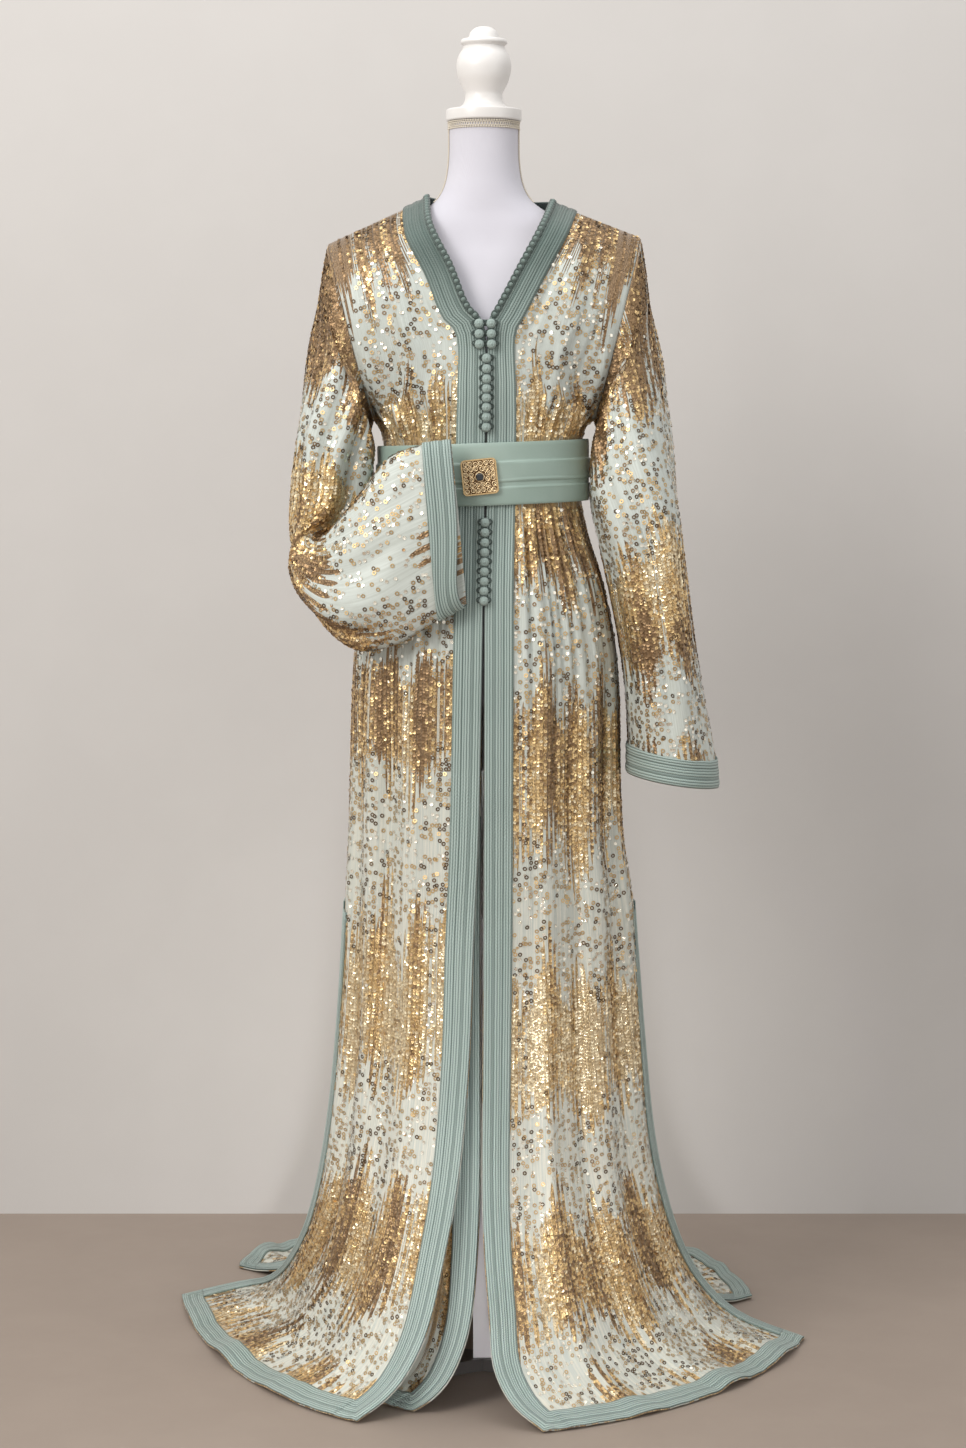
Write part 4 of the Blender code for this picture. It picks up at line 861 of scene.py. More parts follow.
# how light the metal is down the cloth: 0 is bronze and 1 is light gold
TONES = ((0.060, 0.12), (0.317, 0.78), (0.478, 0.24), (0.745, 0.36), (1.055, 0.90), (1.360, 0.50),
         (1.600, 0.62), (1.850, 0.50))


# the numbers below serve both the sewn sequins and the cloth's shader, so that they agree
DRIP_RATES = (12.9898, 78.233)  # of the two sines that give each drip its number
WAVE_HIGH = 0.028  # height of the waves in the ends of the zones
WAVE_BROAD = (23.0, 1.0)  # rate and start of the broad wave and of the fine one
WAVE_FINE = (51.0, 2.2)
WAVE_FINE_SIZE = 0.6
WAVE_TOTAL = 1 + WAVE_FINE_SIZE
DRIP_LEVEL = 0.53  # how dense the cloth is where a middling drip ends
DRIP_SPREAD = 0.50  # how much that differs from drip to drip
DRIP_POINT = 0.20  # and from a drip's middle to its sides
DRIP_EDGE = 0.10  # softness of a drip's end
TINT_BROAD = (31.0, 2.0)  # rate and start of the first wave of tint
TINT_SLANT = (67.0, 4.0)  # rates across and along of the second one
TINT_WAVE = 0.15
TINT_DRIP = 0.20


def zone_stops():
    """How dense the cloth is down the pattern, as (along, share) pairs."""
    stops = []
    for start, end in ZONES:
        stops += [(start - ZONE_SOFT, 0.0), (start + ZONE_SOFT, 1.0),
                  (end - ZONE_SOFT, 1.0), (end + ZONE_SOFT, 0.0)]
    return stops


def drip_number(line):
    """A number from -1 to 1 for each drip."""
    column = np.floor(line / DRIP)
    return (np.sin(column * DRIP_RATES[0]) + np.sin(column * DRIP_RATES[1])) / 2


def wave_at(line, wave):
    rate, start = wave
    return np.sin(line * rate + start)


def profile_at(line, along):
    """Soft share of dense cloth, before it is cut into drips."""
    waves = wave_at(line, WAVE_BROAD) + WAVE_FINE_SIZE * wave_at(line, WAVE_FINE)
    return np.interp(along + WAVE_HIGH * waves / WAVE_TOTAL, *zip(*zone_stops()))


def zone_at(line, along):
    """1 where sequins are sewn close together; each drip ends at its own height."""
    inside = np.abs((line / DRIP) % 1 - 0.5) * 2
    threshold = DRIP_LEVEL + DRIP_SPREAD * drip_number(line) + DRIP_POINT * inside ** 2
    return np.clip((profile_at(line, along) - threshold) / DRIP_EDGE + 0.5, 0, 1)


def tint_at(line, along):
    """Which metal a line of sequins has: bronze below, gold between, light gold above."""
    tone = np.interp(along, *zip(*TONES))
    slant = np.sin(line * TINT_SLANT[0] + along * TINT_SLANT[1])
    return tone + TINT_WAVE * (wave_at(line, TINT_BROAD) + slant) + TINT_DRIP * drip_number(line)


def make_drips_group():
    """The same zones and tints in a shader: UV in, zone and tint out."""
    nodes, given, out = group("sequin drips", "Vector", "Zone Tint Gap")
    split = nodes.parts(given["Vector"])
    line, along = split["X"], split["Y"]
    turn = nodes.math("DIVIDE", line, DRIP)
    column = nodes.math("FLOOR", turn)

    def wave(source, rate, start=0.0):
        return nodes.sine(nodes.scaled(source, rate, start))

    def ramp(source, places):
        """A ramp through (along, level) pairs; a new one has two stops already."""
        node = nodes.add("ValToRGB")
        nodes.join(nodes.math("DIVIDE", source, CLOTH_LONG), node.inputs[0])
        stops = node.color_ramp.elements
        for number, (place, level) in enumerate(places):
            stop = stops[number] if number < 2 else stops.new(place / CLOTH_LONG)
            stop.position = max(0.0, place / CLOTH_LONG)
            stop.color = (level, level, level, 1)
        return node.outputs["Color"]

    both = nodes.math("ADD", *(wave(column, rate) for rate in DRIP_RATES))
    random = nodes.times(both, 0.5)
    waves = nodes.scaled(wave(line, *WAVE_FINE), WAVE_FINE_SIZE, wave(line, *WAVE_BROAD))
    # the ramp starts inside the first zone, whose upper end lies above the cloth
    profile = ramp(nodes.scaled(waves, WAVE_HIGH / WAVE_TOTAL, along), zone_stops()[2:])
    inside = nodes.times(nodes.math("SUBTRACT", nodes.math("FRACT", turn), 0.5), 2.0)
    threshold = nodes.scaled(nodes.times(inside, inside), DRIP_POINT,
                           nodes.scaled(random, DRIP_SPREAD, DRIP_LEVEL))
    level = nodes.scaled(nodes.math("SUBTRACT", profile, threshold), 1 / DRIP_EDGE, 0.5)
    nodes.join(nodes.math("MAXIMUM", nodes.math("MINIMUM", level, 1.0), 0.0), out["Zone"])
    slant = nodes.sine(nodes.math("ADD", nodes.times(line, TINT_SLANT[0]),
                                          nodes.times(along, TINT_SLANT[1])))
    waves = nodes.times(nodes.math("ADD", wave(line, *TINT_BROAD), slant), TINT_WAVE)
    tint = nodes.math("ADD", ramp(along, TONES), waves)
    nodes.join(nodes.scaled(random, TINT_DRIP, tint), out["Tint"])
    string = nodes.sine(nodes.times(turn, pi * DRIP / STRING))
    nodes.join(nodes.smooth(nodes.math("ABSOLUTE", string), 0.10, 0.60, 1.0, 0.0), out["Gap"])


def make_sequins_group():
    """Small cup sequins sewn close together: height, a number for each, and rim."""
    nodes, given, out = group("packed sequins", "Vector Size", "Height Random Rim")
    size = nodes.math("DIVIDE", 1.0, given["Size"])
    stretch = nodes.stretched(given["Vector"], (1.15, 0.85, 1.0))
    cells = nodes.add("TexVoronoi", voronoi_dimensions="2D")
    cells.inputs["Randomness"].default_value = 0.75
    nodes.join(stretch, cells.inputs["Vector"])
    nodes.join(size, cells.inputs["Scale"])
    away = cells.outputs["Distance"]
    nodes.join(nodes.smooth(away, 0.15, 0.55, 1.0, 0.0), out["Height"])
    nodes.join(nodes.smooth(away, 0.42, 0.58), out["Rim"])
    split = nodes.add("SeparateColor")
    nodes.join(cells.outputs["Color"], split.inputs[0])
    nodes.join(split.outputs[0], out["Random"])


def make_weave_group():
    """Crossed threads with a slight lengthwise slub."""
    nodes, given, out = group("weave", "Vector Thread", "Height Slub")
    split = nodes.parts(given["Vector"])
    rate = nodes.math("DIVIDE", pi, given["Thread"])
    warp = nodes.sine(nodes.times(split["X"], rate))
    weft = nodes.sine(nodes.times(split["Y"], rate))
    nodes.join(nodes.scaled(nodes.times(warp, weft), 0.5, 0.5), out["Height"])
    long_grain = nodes.stretched(given["Vector"], (260.0, 14.0, 60.0))
    nodes.join(nodes.noise(long_grain, 1.0, 3.0), out["Slub"])


def make_cord_group():
    """Twisted cords side by side, as in braid: across the band in X, along it in Y."""
    nodes, given, out = group("twisted cords", "Vector Cord Twist", "Height Groove Fibre")
    split = nodes.parts(given["Vector"])
    wander = nodes.math("SUBTRACT", nodes.noise(given["Vector"], 90.0, 1.0), 0.5)
    across = nodes.scaled(wander, 0.0007, split["X"])
    turn = nodes.math("DIVIDE", across, given["Cord"])
    number = nodes.math("FLOOR", turn)
    place = nodes.math("FRACT", turn)
    round_top = nodes.sine(nodes.times(place, pi))
    odd = nodes.math("MODULO", nodes.math("ABSOLUTE", number), 2.0)
    side = nodes.scaled(odd, 2.0, -1.0)
    lean = nodes.times(nodes.times(place, side), 0.9)
    strand = nodes.math("ADD", nodes.math("DIVIDE", split["Y"], given["Twist"]), lean)
    ply = nodes.sine(nodes.times(nodes.math("FRACT", strand), pi))
    height = nodes.scaled(ply, 0.4, nodes.times(round_top, 0.7))
    nodes.join(height, out["Height"])
    nodes.join(nodes.smooth(round_top, 0.10, 0.60, 1.0, 0.0), out["Groove"])
    nodes.join(nodes.noise(given["Vector"], 1400.0, 2.0), out["Fibre"])


def make_wear_group():
    """Soft blotches and fine grain for paint, cloth covers and metal."""
    nodes, given, out = group("soft wear", "Vector Grain", "Blotch Grain")
    nodes.join(nodes.smooth(nodes.noise(given["Vector"], 9.0, 3.0), 0.35, 0.68), out["Blotch"])
    nodes.join(nodes.noise(given["Vector"], given["Grain"], 4.0, 0.6), out["Grain"])


# ---- materials
def new_material(name):
    mat = bpy.data.materials.new(name)
    mat.use_nodes = True
    nodes = Nodes(mat.node_tree)
    return mat, nodes, mat.node_tree.nodes["Principled BSDF"].inputs


def set_surface(nodes, shader, colour, grain, swing, rough, **sockets):
    """Join a colour and a roughness that varies with the grain; set plain sockets by name."""
    nodes.join(colour, shader["Base Color"])
    nodes.join(nodes.scaled(grain, swing, rough), shader["Roughness"])
    for label, level in sockets.items():
        shader[label.replace("_", " ")].default_value = level


def bump(nodes, shader, height, distance):
    node = nodes.add("Bump")
    node.inputs["Distance"].default_value = distance
    nodes.join(height, node.inputs["Height"])
    nodes.join(node.outputs[0], shader["Normal"])


def uv_of(nodes):
    return nodes.add("UVMap", uv_map="cloth").outputs["UV"]


def place_of(nodes):
    return nodes.add("TexCoord").outputs["Object"]


def worn_material(name, grain):
    """A new material, its nodes and shader sockets, and soft wear over the object."""
    mat, nodes, shader = new_material(name)
    return mat, nodes, shader, use(nodes, "soft wear", Vector=place_of(nodes), Grain=grain)


# colours; where there are two, the first is the shade and the second the light
SATIN_PALE = (0.63, 0.685, 0.65, 1)
# painted reflection of the gold sequins, on the satin lower down
SATIN_GOLD_REFLECTION = (0.70, 0.69, 0.595, 1)
SATIN_SHADE = (0.525, 0.565, 0.52, 1)
BRONZE = (0.37, 0.250, 0.145, 1)
# painted shade at the packed sequins' rims and in the gaps between their strings
SEQUIN_GAP_SHADE = (0.20, 0.130, 0.075, 1)
GOLD = (0.78, 0.54, 0.25, 1)
GOLD_LIGHT = (0.92, 0.75, 0.46, 1)
SAGE = (0.285, 0.373, 0.346, 1)
# painted highlight on the braid's cord tops; also the knot thread's paler random tone
SAGE_HIGHLIGHT_AND_PALE = (0.455, 0.560, 0.525, 1)
# painted shade in the braid's grooves and valleys; also the darker threads of the knots' weave
SAGE_GROOVE_SHADE_AND_WEAVE = (0.075, 0.120, 0.108, 1)
# painted shade: the near-black thread of the loops and collars round the buttons and of the loops down
# the neck
SAGE_LOOP_SHADE = (0.030, 0.045, 0.040, 1)
SAGE_NECK_SHADE = (0.074, 0.110, 0.096, 1)  # painted shade round the neck, on the braid and the knots there
BELT_COLOURS = ((0.292, 0.390, 0.342, 1), (0.370, 0.475, 0.428, 1))
COVER_COLOURS = ((0.595, 0.585, 0.645, 1), (0.645, 0.635, 0.695, 1))
GIMP_COLOURS = ((0.50, 0.43, 0.33, 1), (0.84, 0.79, 0.69, 1))
STONE_COLOURS = ((0.006, 0.008, 0.012, 1), (0.03, 0.035, 0.045, 1))
CREAM_PAINT = ((0.74, 0.72, 0.70, 1), (0.79, 0.775, 0.76, 1))
# painted light: the post's paint is whiter than the cap's, so that it shows bright in the slit
LIT_POST_PAINT = ((0.87, 0.84, 0.86, 1), (0.91, 0.89, 0.90, 1))
# painted shade: the foot of the stand is painted near black, for the shadow under the skirt
FOOT_SHADE_PAINT = ((0.075, 0.069, 0.065, 1), (0.10, 0.093, 0.088, 1))
FLOOR_COLOURS = ((0.335, 0.275, 0.232, 1), (0.375, 0.31, 0.263, 1))
WALL_COLOURS = ((0.60, 0.583, 0.568, 1), (0.63, 0.613, 0.598, 1))
# each metal: name, colour, deep colour and roughness
METALS = {
    "plate": ("gold plate", (0.88, 0.67, 0.38, 1), (0.62, 0.42, 0.20, 1), 0.26),
    "ground": ("dark gold ground", (0.22, 0.115, 0.050, 1), (0.10, 0.050, 0.022, 1), 0.45),
    "filigree": ("gold filigree", (0.98, 0.84, 0.60, 1), (0.86, 0.64, 0.36, 1), 0.20),
    "bronze": ("bronze sequins", (0.45, 0.305, 0.17, 1), (0.26, 0.165, 0.09, 1), 0.32),
    "gold": ("gold sequins", (0.96, 0.73, 0.39, 1), (0.76, 0.53, 0.25, 1), 0.24),
    "light": ("light gold sequins", (1.0, 0.91, 0.69, 1), (0.92, 0.76, 0.48, 1), 0.18),
    "pewter": ("pewter ring sequins", (0.23, 0.155, 0.09, 1), (0.11, 0.075, 0.045, 1), 0.30),
    "gilt": ("gilt ring sequins", (0.76, 0.57, 0.31, 1), (0.52, 0.36, 0.18, 1), 0.26),
    "glint": ("pale glint sequins", (0.98, 0.94, 0.83, 1), (0.88, 0.82, 0.68, 1), 0.15),
}
GOLD_REFLECTION_SPAN = (0.50, 1.00)  # painted reflection: the satin turns from pale to a warmer tone, for the gold sequins reflected in it, between these, along
NECK_SHADE = (1.24, 1.42)  # painted shade: the braid turns darker between these heights, towards the neck


def make_sequinned_satin():
    """Satin with packed sequins painted on in the dense zones, under the sewn ones; painted shade
    darkens the packed sequins' rims and the gaps between their strings, and lower down the satin takes
    a warmer painted reflection of the gold sequins.
    """
    mat, nodes, shader = new_material("sequinned satin cloth")
    uv = uv_of(nodes)
    zone = use(nodes, "sequin drips", Vector=uv)
    weave = use(nodes, "weave", Vector=uv, Thread=0.00055)
    packed = use(nodes, "packed sequins", Vector=uv, Size=0.0042)
    along = nodes.parts(uv)["Y"]
    # painted reflection: lower down the satin turns warmer, for the gold sequins reflected in it
    pale = nodes.blend(nodes.smooth(along, *GOLD_REFLECTION_SPAN), SATIN_PALE, SATIN_GOLD_REFLECTION)
    satin = nodes.blend(nodes.smooth(weave["Slub"], 0.30, 0.70), SATIN_SHADE, pale)
    varied = nodes.scaled(packed["Random"], 0.5, -0.25)
    metal = nodes.math("ADD", zone["Tint"], varied)
    low = nodes.blend(nodes.smooth(metal, 0.20, 0.50), BRONZE, GOLD)
    tone = nodes.blend(nodes.smooth(metal, 0.62, 0.92), low, GOLD_LIGHT)
    # painted shade: the packed sequins darken at their rims and in the gaps between their strings
    cover = nodes.blend(nodes.times(packed["Rim"], 0.55), tone, SEQUIN_GAP_SHADE)
    cover = nodes.blend(nodes.times(zone["Gap"], 0.50), cover, SEQUIN_GAP_SHADE)
    dense = nodes.smooth(zone["Zone"], 0.30, 0.70)
    nodes.join(nodes.blend(dense, satin, cover), shader["Base Color"])
    nodes.join(nodes.times(dense, 0.72), shader["Metallic"])
    rough = nodes.scaled(packed["Random"], 0.25, 0.28)
    nodes.join(nodes.blend(dense, 0.42, rough, "FLOAT"), shader["Roughness"])
    threads = nodes.times(weave["Height"], 0.12)
    bump(nodes, shader, nodes.blend(dense, threads, packed["Height"], "FLOAT"), 0.0007)
    shader["Sheen Weight"].default_value = 0.25
    shader["Sheen Roughness"].default_value = 0.4
    return mat


def make_braid():
    """Raised ribs of twisted silk cords, with painted highlights on the cord tops and painted shade in
    the grooves, in the valleys and towards the neck.
    """
    mat, nodes, shader = new_material("sage braid cords")
    uv = uv_of(nodes)
    cords = use(nodes, "twisted cords", Vector=uv, Cord=FRONT_BAND / 10.5, Twist=0.0030)
    split = nodes.parts(uv)
    ribs = nodes.sine(nodes.times(split["X"], RIBS * pi / FRONT_BAND))
    valley = nodes.smooth(nodes.math("ABSOLUTE", ribs), 0.05, 0.45, 1.0, 0.0)
    place = place_of(nodes)
    wear = use(nodes, "soft wear", Vector=place, Grain=60.0)
    up = nodes.parts(place)["Z"]
    # painted highlight: the raised tops of the cords are lighter
    tone = nodes.blend(nodes.times(cords["Height"], 0.9), SAGE, SAGE_HIGHLIGHT_AND_PALE)
    # painted shade: the braid darkens towards the neck
    tone = nodes.blend(nodes.smooth(up, *NECK_SHADE, 0.0, 0.92), tone, SAGE_NECK_SHADE)
    tone = nodes.blend(nodes.times(wear["Blotch"], 0.25), tone, SAGE)
    # painted shade: the grooves between the cords and the valleys between the ribs are darker
    tone = nodes.blend(nodes.times(cords["Groove"], 0.85), tone, SAGE_GROOVE_SHADE_AND_WEAVE)
    tone = nodes.blend(nodes.times(valley, 0.55), tone, SAGE_GROOVE_SHADE_AND_WEAVE)
    set_surface(nodes, shader, tone, cords["Fibre"], 0.2, 0.40, Sheen_Weight=0.2, Sheen_Roughness=0.4)
    bump(nodes, shader, nodes.scaled(cords["Fibre"], 0.15, cords["Height"]), 0.0011)
    return mat


def make_knot_thread(name, shade, light):
    """The same silk thread wound into knots and loops."""
    mat, nodes, shader = new_material(name)
    place = place_of(nodes)
    wear = use(nodes, "soft wear", Vector=place, Grain=900.0)
    weave = use(nodes, "weave", Vector=place, Thread=0.0007)
    tone = nodes.blend(wear["Grain"], shade, light)
    tone = nodes.blend(nodes.times(weave["Height"], 0.35), tone, SAGE_GROOVE_SHADE_AND_WEAVE)
    set_surface(nodes, shader, tone, wear["Grain"], 0.2, 0.42, Sheen_Weight=0.3)
    bump(nodes, shader, nodes.math("ADD", weave["Height"], wear["Grain"]), 0.0003)
    return mat


def make_belt_satin():
    mat, nodes, shader, wear = worn_material("smooth belt satin", 420.0)
    weave = use(nodes, "weave", Vector=uv_of(nodes), Thread=0.0005)
    tone = nodes.blend(wear["Blotch"], *BELT_COLOURS)
    set_surface(nodes, shader, tone, wear["Grain"], 0.12, 0.34, Sheen_Weight=0.15)
    bump(nodes, shader, nodes.scaled(weave["Height"], 0.3, wear["Grain"]), 0.00012)
    return mat


def make_metal(name, colour, deep, rough):
    mat, nodes, shader, wear = worn_material(name, 700.0)
    tone = nodes.blend(nodes.times(wear["Grain"], 0.8), deep, colour)
    set_surface(nodes, shader, tone, wear["Grain"], 0.25, rough, Metallic=0.9)
    bump(nodes, shader, wear["Grain"], 0.0002)
    return mat


def make_cloth_cover():
    mat, nodes, shader = new_material("white form cover")
    place = place_of(nodes)
    weave = use(nodes, "weave", Vector=place, Thread=0.0006)
    wear = use(nodes, "soft wear", Vector=place, Grain=300.0)
    tone = nodes.blend(wear["Blotch"], *COVER_COLOURS)
    set_surface(nodes, shader, tone, wear["Grain"], 0.15, 0.62, Sheen_Weight=0.2)
    bump(nodes, shader, weave["Height"], 0.00015)
    return mat


def make_paint(name, shade, light):
    """Painted wood, its grain just seen through the paint."""
    mat, nodes, shader = new_material(name)
    place = place_of(nodes)
    wear = use(nodes, "soft wear", Vector=place, Grain=160.0)
    wood = nodes.noise(nodes.stretched(place, (120.0, 120.0, 9.0)), 1.0, 3.0)
    tone = nodes.blend(wear["Blotch"], shade, light)
    set_surface(nodes, shader, tone, wear["Grain"], 0.2, 0.26, Coat_Weight=0.15)
    bump(nodes, shader, nodes.scaled(wood, 0.6, wear["Grain"]), 0.0002)
    return mat


def make_gimp():
    mat, nodes, shader, wear = worn_material("cream gimp thread", 1200.0)
    set_surface(nodes, shader, nodes.blend(wear["Grain"], *GIMP_COLOURS), wear["Grain"], 0.2, 0.5)
    bump(nodes, shader, wear["Grain"], 0.0003)
    return mat


def make_stone():
    mat, nodes, shader, wear = worn_material("dark cut stone", 260.0)
    tone = nodes.blend(wear["Grain"], *STONE_COLOURS)
    set_surface(nodes, shader, tone, wear["Blotch"], 0.06, 0.06, Coat_Weight=0.6)
    return mat


def make_stage(name, shade, light, rough):
    mat, nodes, shader, wear = worn_material(name, 40.0)
    tone = nodes.blend(nodes.times(wear["Blotch"], 0.3), shade, light)
    set_surface(nodes, shader, tone, wear["Grain"], 0.1, rough)
    return mat


# ---- garment
# where each piece was cut from the sequinned cloth, across it
PATTERN_START = {"front_left": 0.0, "front_right": 0.72, "back": 1.45, "inner": 2.7, "sleeve_left": 3.4,
                 "sleeve_right": 4.5}
# how far down the cloth's pattern each part of a sleeve lies
SLEEVE_PATTERN = {
    LEFT: ((0.0, 0.10, 0.17, 0.225, 0.285, 0.46, 0.50, 0.62, 0.71),
           (0.0, 0.055, 0.114, 0.220, 0.325, 0.500, 0.560, 0.600, 0.665)),
    RIGHT: ((0.0, 0.10, 0.20, 0.30, 0.36, 0.50, 0.70), (0.0, 0.055, 0.115, 0.215, 0.285, 0.520, 0.720)),
}
# the same for the two fronts, which are matched a little differently below the belt
FRONT_PATTERN = {
    LEFT: ((0.0, 0.42, 0.60, 0.75, 0.96, 2.0),
           (0.0, 0.42, 0.632, 0.838, 0.978, 2.015)),
    RIGHT: ((0.0, 0.80, 0.972, 1.15, 1.26, 1.42, 2.0),
            (0.0, 0.80, 0.925, 1.125, 1.238, 1.41, 2.0)),
}
ELBOW_LAG = 0.085  # how much further the zones reach round the outside of the bent elbow
ELBOW_SIDE = 0.04  # where that is, around the sleeve
ELBOW_ROUND = 1.5  # how narrow it is
ELBOW_SPAN = (0.36, 0.66)  # along: the bend, and how softly it starts and ends
ELBOW_SOFT = (0.08, 0.10)
INNER_BAND_TOP = 0.80  # along: where the inner layer's band starts
NAPE_COLUMNS = 44
NAPE_REACH = 0.999  # how near the neck band goes to the front bands
NAPE_SINK = 0.0012


def net_size(net):
    """How many cells a net has down it and across it."""
    return len(net.points) - 1, net.points.shape[1] - 1


def row_at(net, column, along):
    return int(np.searchsorted(net.along[:, column], along))


def corner_share(net, side, width):
    """Share of a band's width at each point; at a corner the cords turn round it."""
    return np.minimum(net.edge[side] / width, net.edge[2] / HEM_BAND)


def build_front(hand, satin, braid):
    side = NAME[hand]
    net = front_net(hand)
    slit_row = row_at(net, -1, SLIT)
    rows, columns = net_size(net)
    pattern = np.interp(net.along, *FRONT_PATTERN[hand])
    net = net._replace(line=net.line + PATTERN_START["front_" + side], along=pattern)
    flip = hand < 0
    panel = cloth_piece("front_panel_" + side, net, satin, "front_" + side, flip)
    hem_row = rows - EDGE_COLUMNS
    edge = corner_share(net, 0, FRONT_BAND)
    slit = corner_share(net, 1, SIDE_BAND)
    bands = [
        band_piece("front_edge_band_" + side, net, (0, rows), (0, EDGE_COLUMNS), edge, net.along,
                   braid, "braid_front_" + side, flip),
        band_piece("side_slit_band_" + side, net, (slit_row, hem_row),
                   (columns - SIDE_COLUMNS, columns), slit, net.along, braid,
                   "braid_side_" + side, flip),
        band_piece("hem_band_" + side, net, (hem_row, rows), (EDGE_COLUMNS, columns), slit,
                   net.edge[0], braid, "braid_hem_" + side, flip),
    ]
    return net


def build_back(satin, braid):
    net = back_net()
    net = net._replace(line=net.line + PATTERN_START["back"])
    rows, columns = net_size(net)
    panel = cloth_piece("back_panel", net, satin, "back", False)
    hem_row = rows - EDGE_COLUMNS
    slit_row = row_at(net, -1, SLIT)
    right = corner_share(net, 0, SIDE_BAND)
    left = corner_share(net, 1, SIDE_BAND)
    bands = [
        band_piece("back_slit_band_right", net, (slit_row, hem_row), (0, SIDE_COLUMNS), right,
                   net.along, braid, "braid_back_right", False),
        band_piece("back_slit_band_left", net, (slit_row, hem_row), (columns - SIDE_COLUMNS, columns),
                   left, net.along, braid, "braid_back_left", False),
        band_piece("train_band", net, (hem_row, rows), (0, columns), np.minimum(right, left),
                   net.edge[0], braid, "braid_back_hem", False),
    ]
    return net


def build_inner(satin, braid):
    net = inner_net()
    net = net._replace(line=net.line + PATTERN_START["inner"])
    rows, columns = net_size(net)
    panel = cloth_piece("inner_layer", net, satin, "inner_front", True)
    first = row_at(net, 0, INNER_BAND_TOP)
    edge = corner_share(net, 0, FRONT_BAND)
    bands = [
        band_piece("inner_edge_band", net, (first, rows), (0, EDGE_COLUMNS), edge, net.along, braid,
                   "braid_inner", True),
        band_piece("inner_hem_band", net, (rows - EDGE_COLUMNS, rows), (EDGE_COLUMNS, columns),
                   net.edge[2] / HEM_BAND, net.edge[0], braid, "braid_inner_hem", True),
    ]
    return net


def build_sleeve(hand, satin, braid):
    side = NAME[hand]
    net = sleeve_net(hand)
    outside = (0.5 + 0.5 * np.cos(tau * (net.line / SLEEVE_LINE - ELBOW_SIDE))) ** ELBOW_ROUND
    bend = ease((net.along - ELBOW_SPAN[0]) / ELBOW_SOFT[0])
    bend = bend * ease((ELBOW_SPAN[1] - net.along) / ELBOW_SOFT[1])
    lag = ELBOW_LAG * outside * bend * (hand == LEFT)
    net = net._replace(line=net.line + PATTERN_START["sleeve_" + side],
                       along=np.interp(net.along - lag, *SLEEVE_PATTERN[hand]))
    rows, columns = net_size(net)
    flip = hand > 0
    sleeve = cloth_piece("sleeve_cloth_" + side, net, satin, "sleeve_" + side, flip, True)
    share = net.edge[2] / CUFF_BAND
    cuff = band_piece("cuff_band_" + side, net, (rows - EDGE_COLUMNS, rows), (0, columns), share,
                      net.edge[0], braid, "cuff_" + side, flip, True)
    return net


def build_neck_band(braid):
    """The band round the back of the neck, between the two front bands."""
    share = np.linspace(1, -1, NAPE_COLUMNS + 1) * NAPE_REACH
    down = np.linspace(0, 1, EDGE_COLUMNS + 1)
    back = curve(BACK_CENTRE, np.zeros(1))[0]
    lines = []
    for start, corner in ((np.array(NAPE), 0), (back, 1)):
        ends = np.where((share < 0)[:, None], neck_end(LEFT)[corner], neck_end(RIGHT)[corner])
        starts = np.broadcast_to(start, ends.shape)
        lines.append(arc(starts, ends, np.ones(len(share)), np.abs(share)))
    inner, outer = lines
    outer = outer - unit(outer - inner) * NECK_RIM
    points = inner[None] + (outer - inner)[None] * down[:, None, None]
    normals = net_normals(points)
    points = points + np.array((0, SEAM / 2, 0))
    net = Net(points - normals * NAPE_SINK, normals, down[:, None] + 0 * share, None,
              edge_distance(points))
    band_piece("neck_band", net, (0, EDGE_COLUMNS), (0, NAPE_COLUMNS), net.along, net.edge[0], braid,
               "braid_neck", False)


# ---- sequins
SEED = 23
DISC = 0.0022  # radius and depth of a cup sequin in the dense zones
DISC_DEPTH = 0.0005
DISC_SIDES = 6
RING = 0.0028  # outer radius of a ring sequin in the pale zones
RING_HOLE = 0.46  # its hole's share of that radius
RING_SIDES = 7
GLINT = 0.84  # a glint's share of that radius, and its depth
GLINT_DEPTH = 0.0004
DOWN_STEP = 0.0040  # from one sequin to the next down a string
RING_STEP = 0.0063  # between the lines of loose rings
RING_DOWN = 0.97  # the share of it between rings down a line
CUP_JITTER = 0.0002  # how far a sequin strays from its place
RING_JITTER = 0.0010
STITCH = CLOTH / 2 + 0.0004  # height of a sewn sequin over the middle of the cloth
RING_LIFT = 0.0003  # how much higher loose rings lie
CUP_TILT = 0.20
RING_TILT = 0.13
GOLDEN = 0.6180339  # spreads the lines that end where a piece narrows
NARROWEST = 0.02
TOP_ROWS = 0.5  # rows left bare at the top of a piece and above its hem's band
HEM_ROWS = 0.3
BAND_ROOM = 0.4  # columns left bare beside a front edge's band
BELT_SPAN = (0.352, 0.422)  # along: nothing is sewn under the belt
SLIT_ROOM = 0.004  # along: room over the bands of the side slits
ZONE_SCATTER = 0.20  # how mixed the sequins are where zones or metals meet
METAL_SCATTER = 0.17
CUP_SORTS = ("bronze", "gold", "light")
CUP_LIMITS = (0.34, 0.66)  # tints where gold and light gold start
LOOSE_BELOW = 0.3  # loose rings lie where the zones are weaker than this
CROWD = (0.55, 0.34, 0.16)  # share of rings sewn: least, added near the zones, in drifts
RING_SORTS = ("pewter", "gilt", "glint")
RING_LIMITS = (0.20, 0.66)  # shares of the loose ones where gilt and glints start

Spots = namedtuple("Spots", "place normal down along line column")
# bare_sides are the sides (0 or 1) of the net that are left bare below the slit's top
Sewn = namedtuple("Sewn", "net columns bare_sides belted")


def read_net(grid, row, column):
    """A net's values between its points."""
    r = np.clip(np.floor(row).astype(int), 0, grid.shape[0] - 2)
    c = np.clip(np.floor(column).astype(int), 0, grid.shape[1] - 2)
    low, side = row - r, column - c
    if grid.ndim == 3:
        low, side = low[:, None], side[:, None]
    top = grid[r, c] * (1 - side) + grid[r, c + 1] * side
    return top * (1 - low) + (grid[r + 1, c] * (1 - side) + grid[r + 1, c + 1] * side) * low


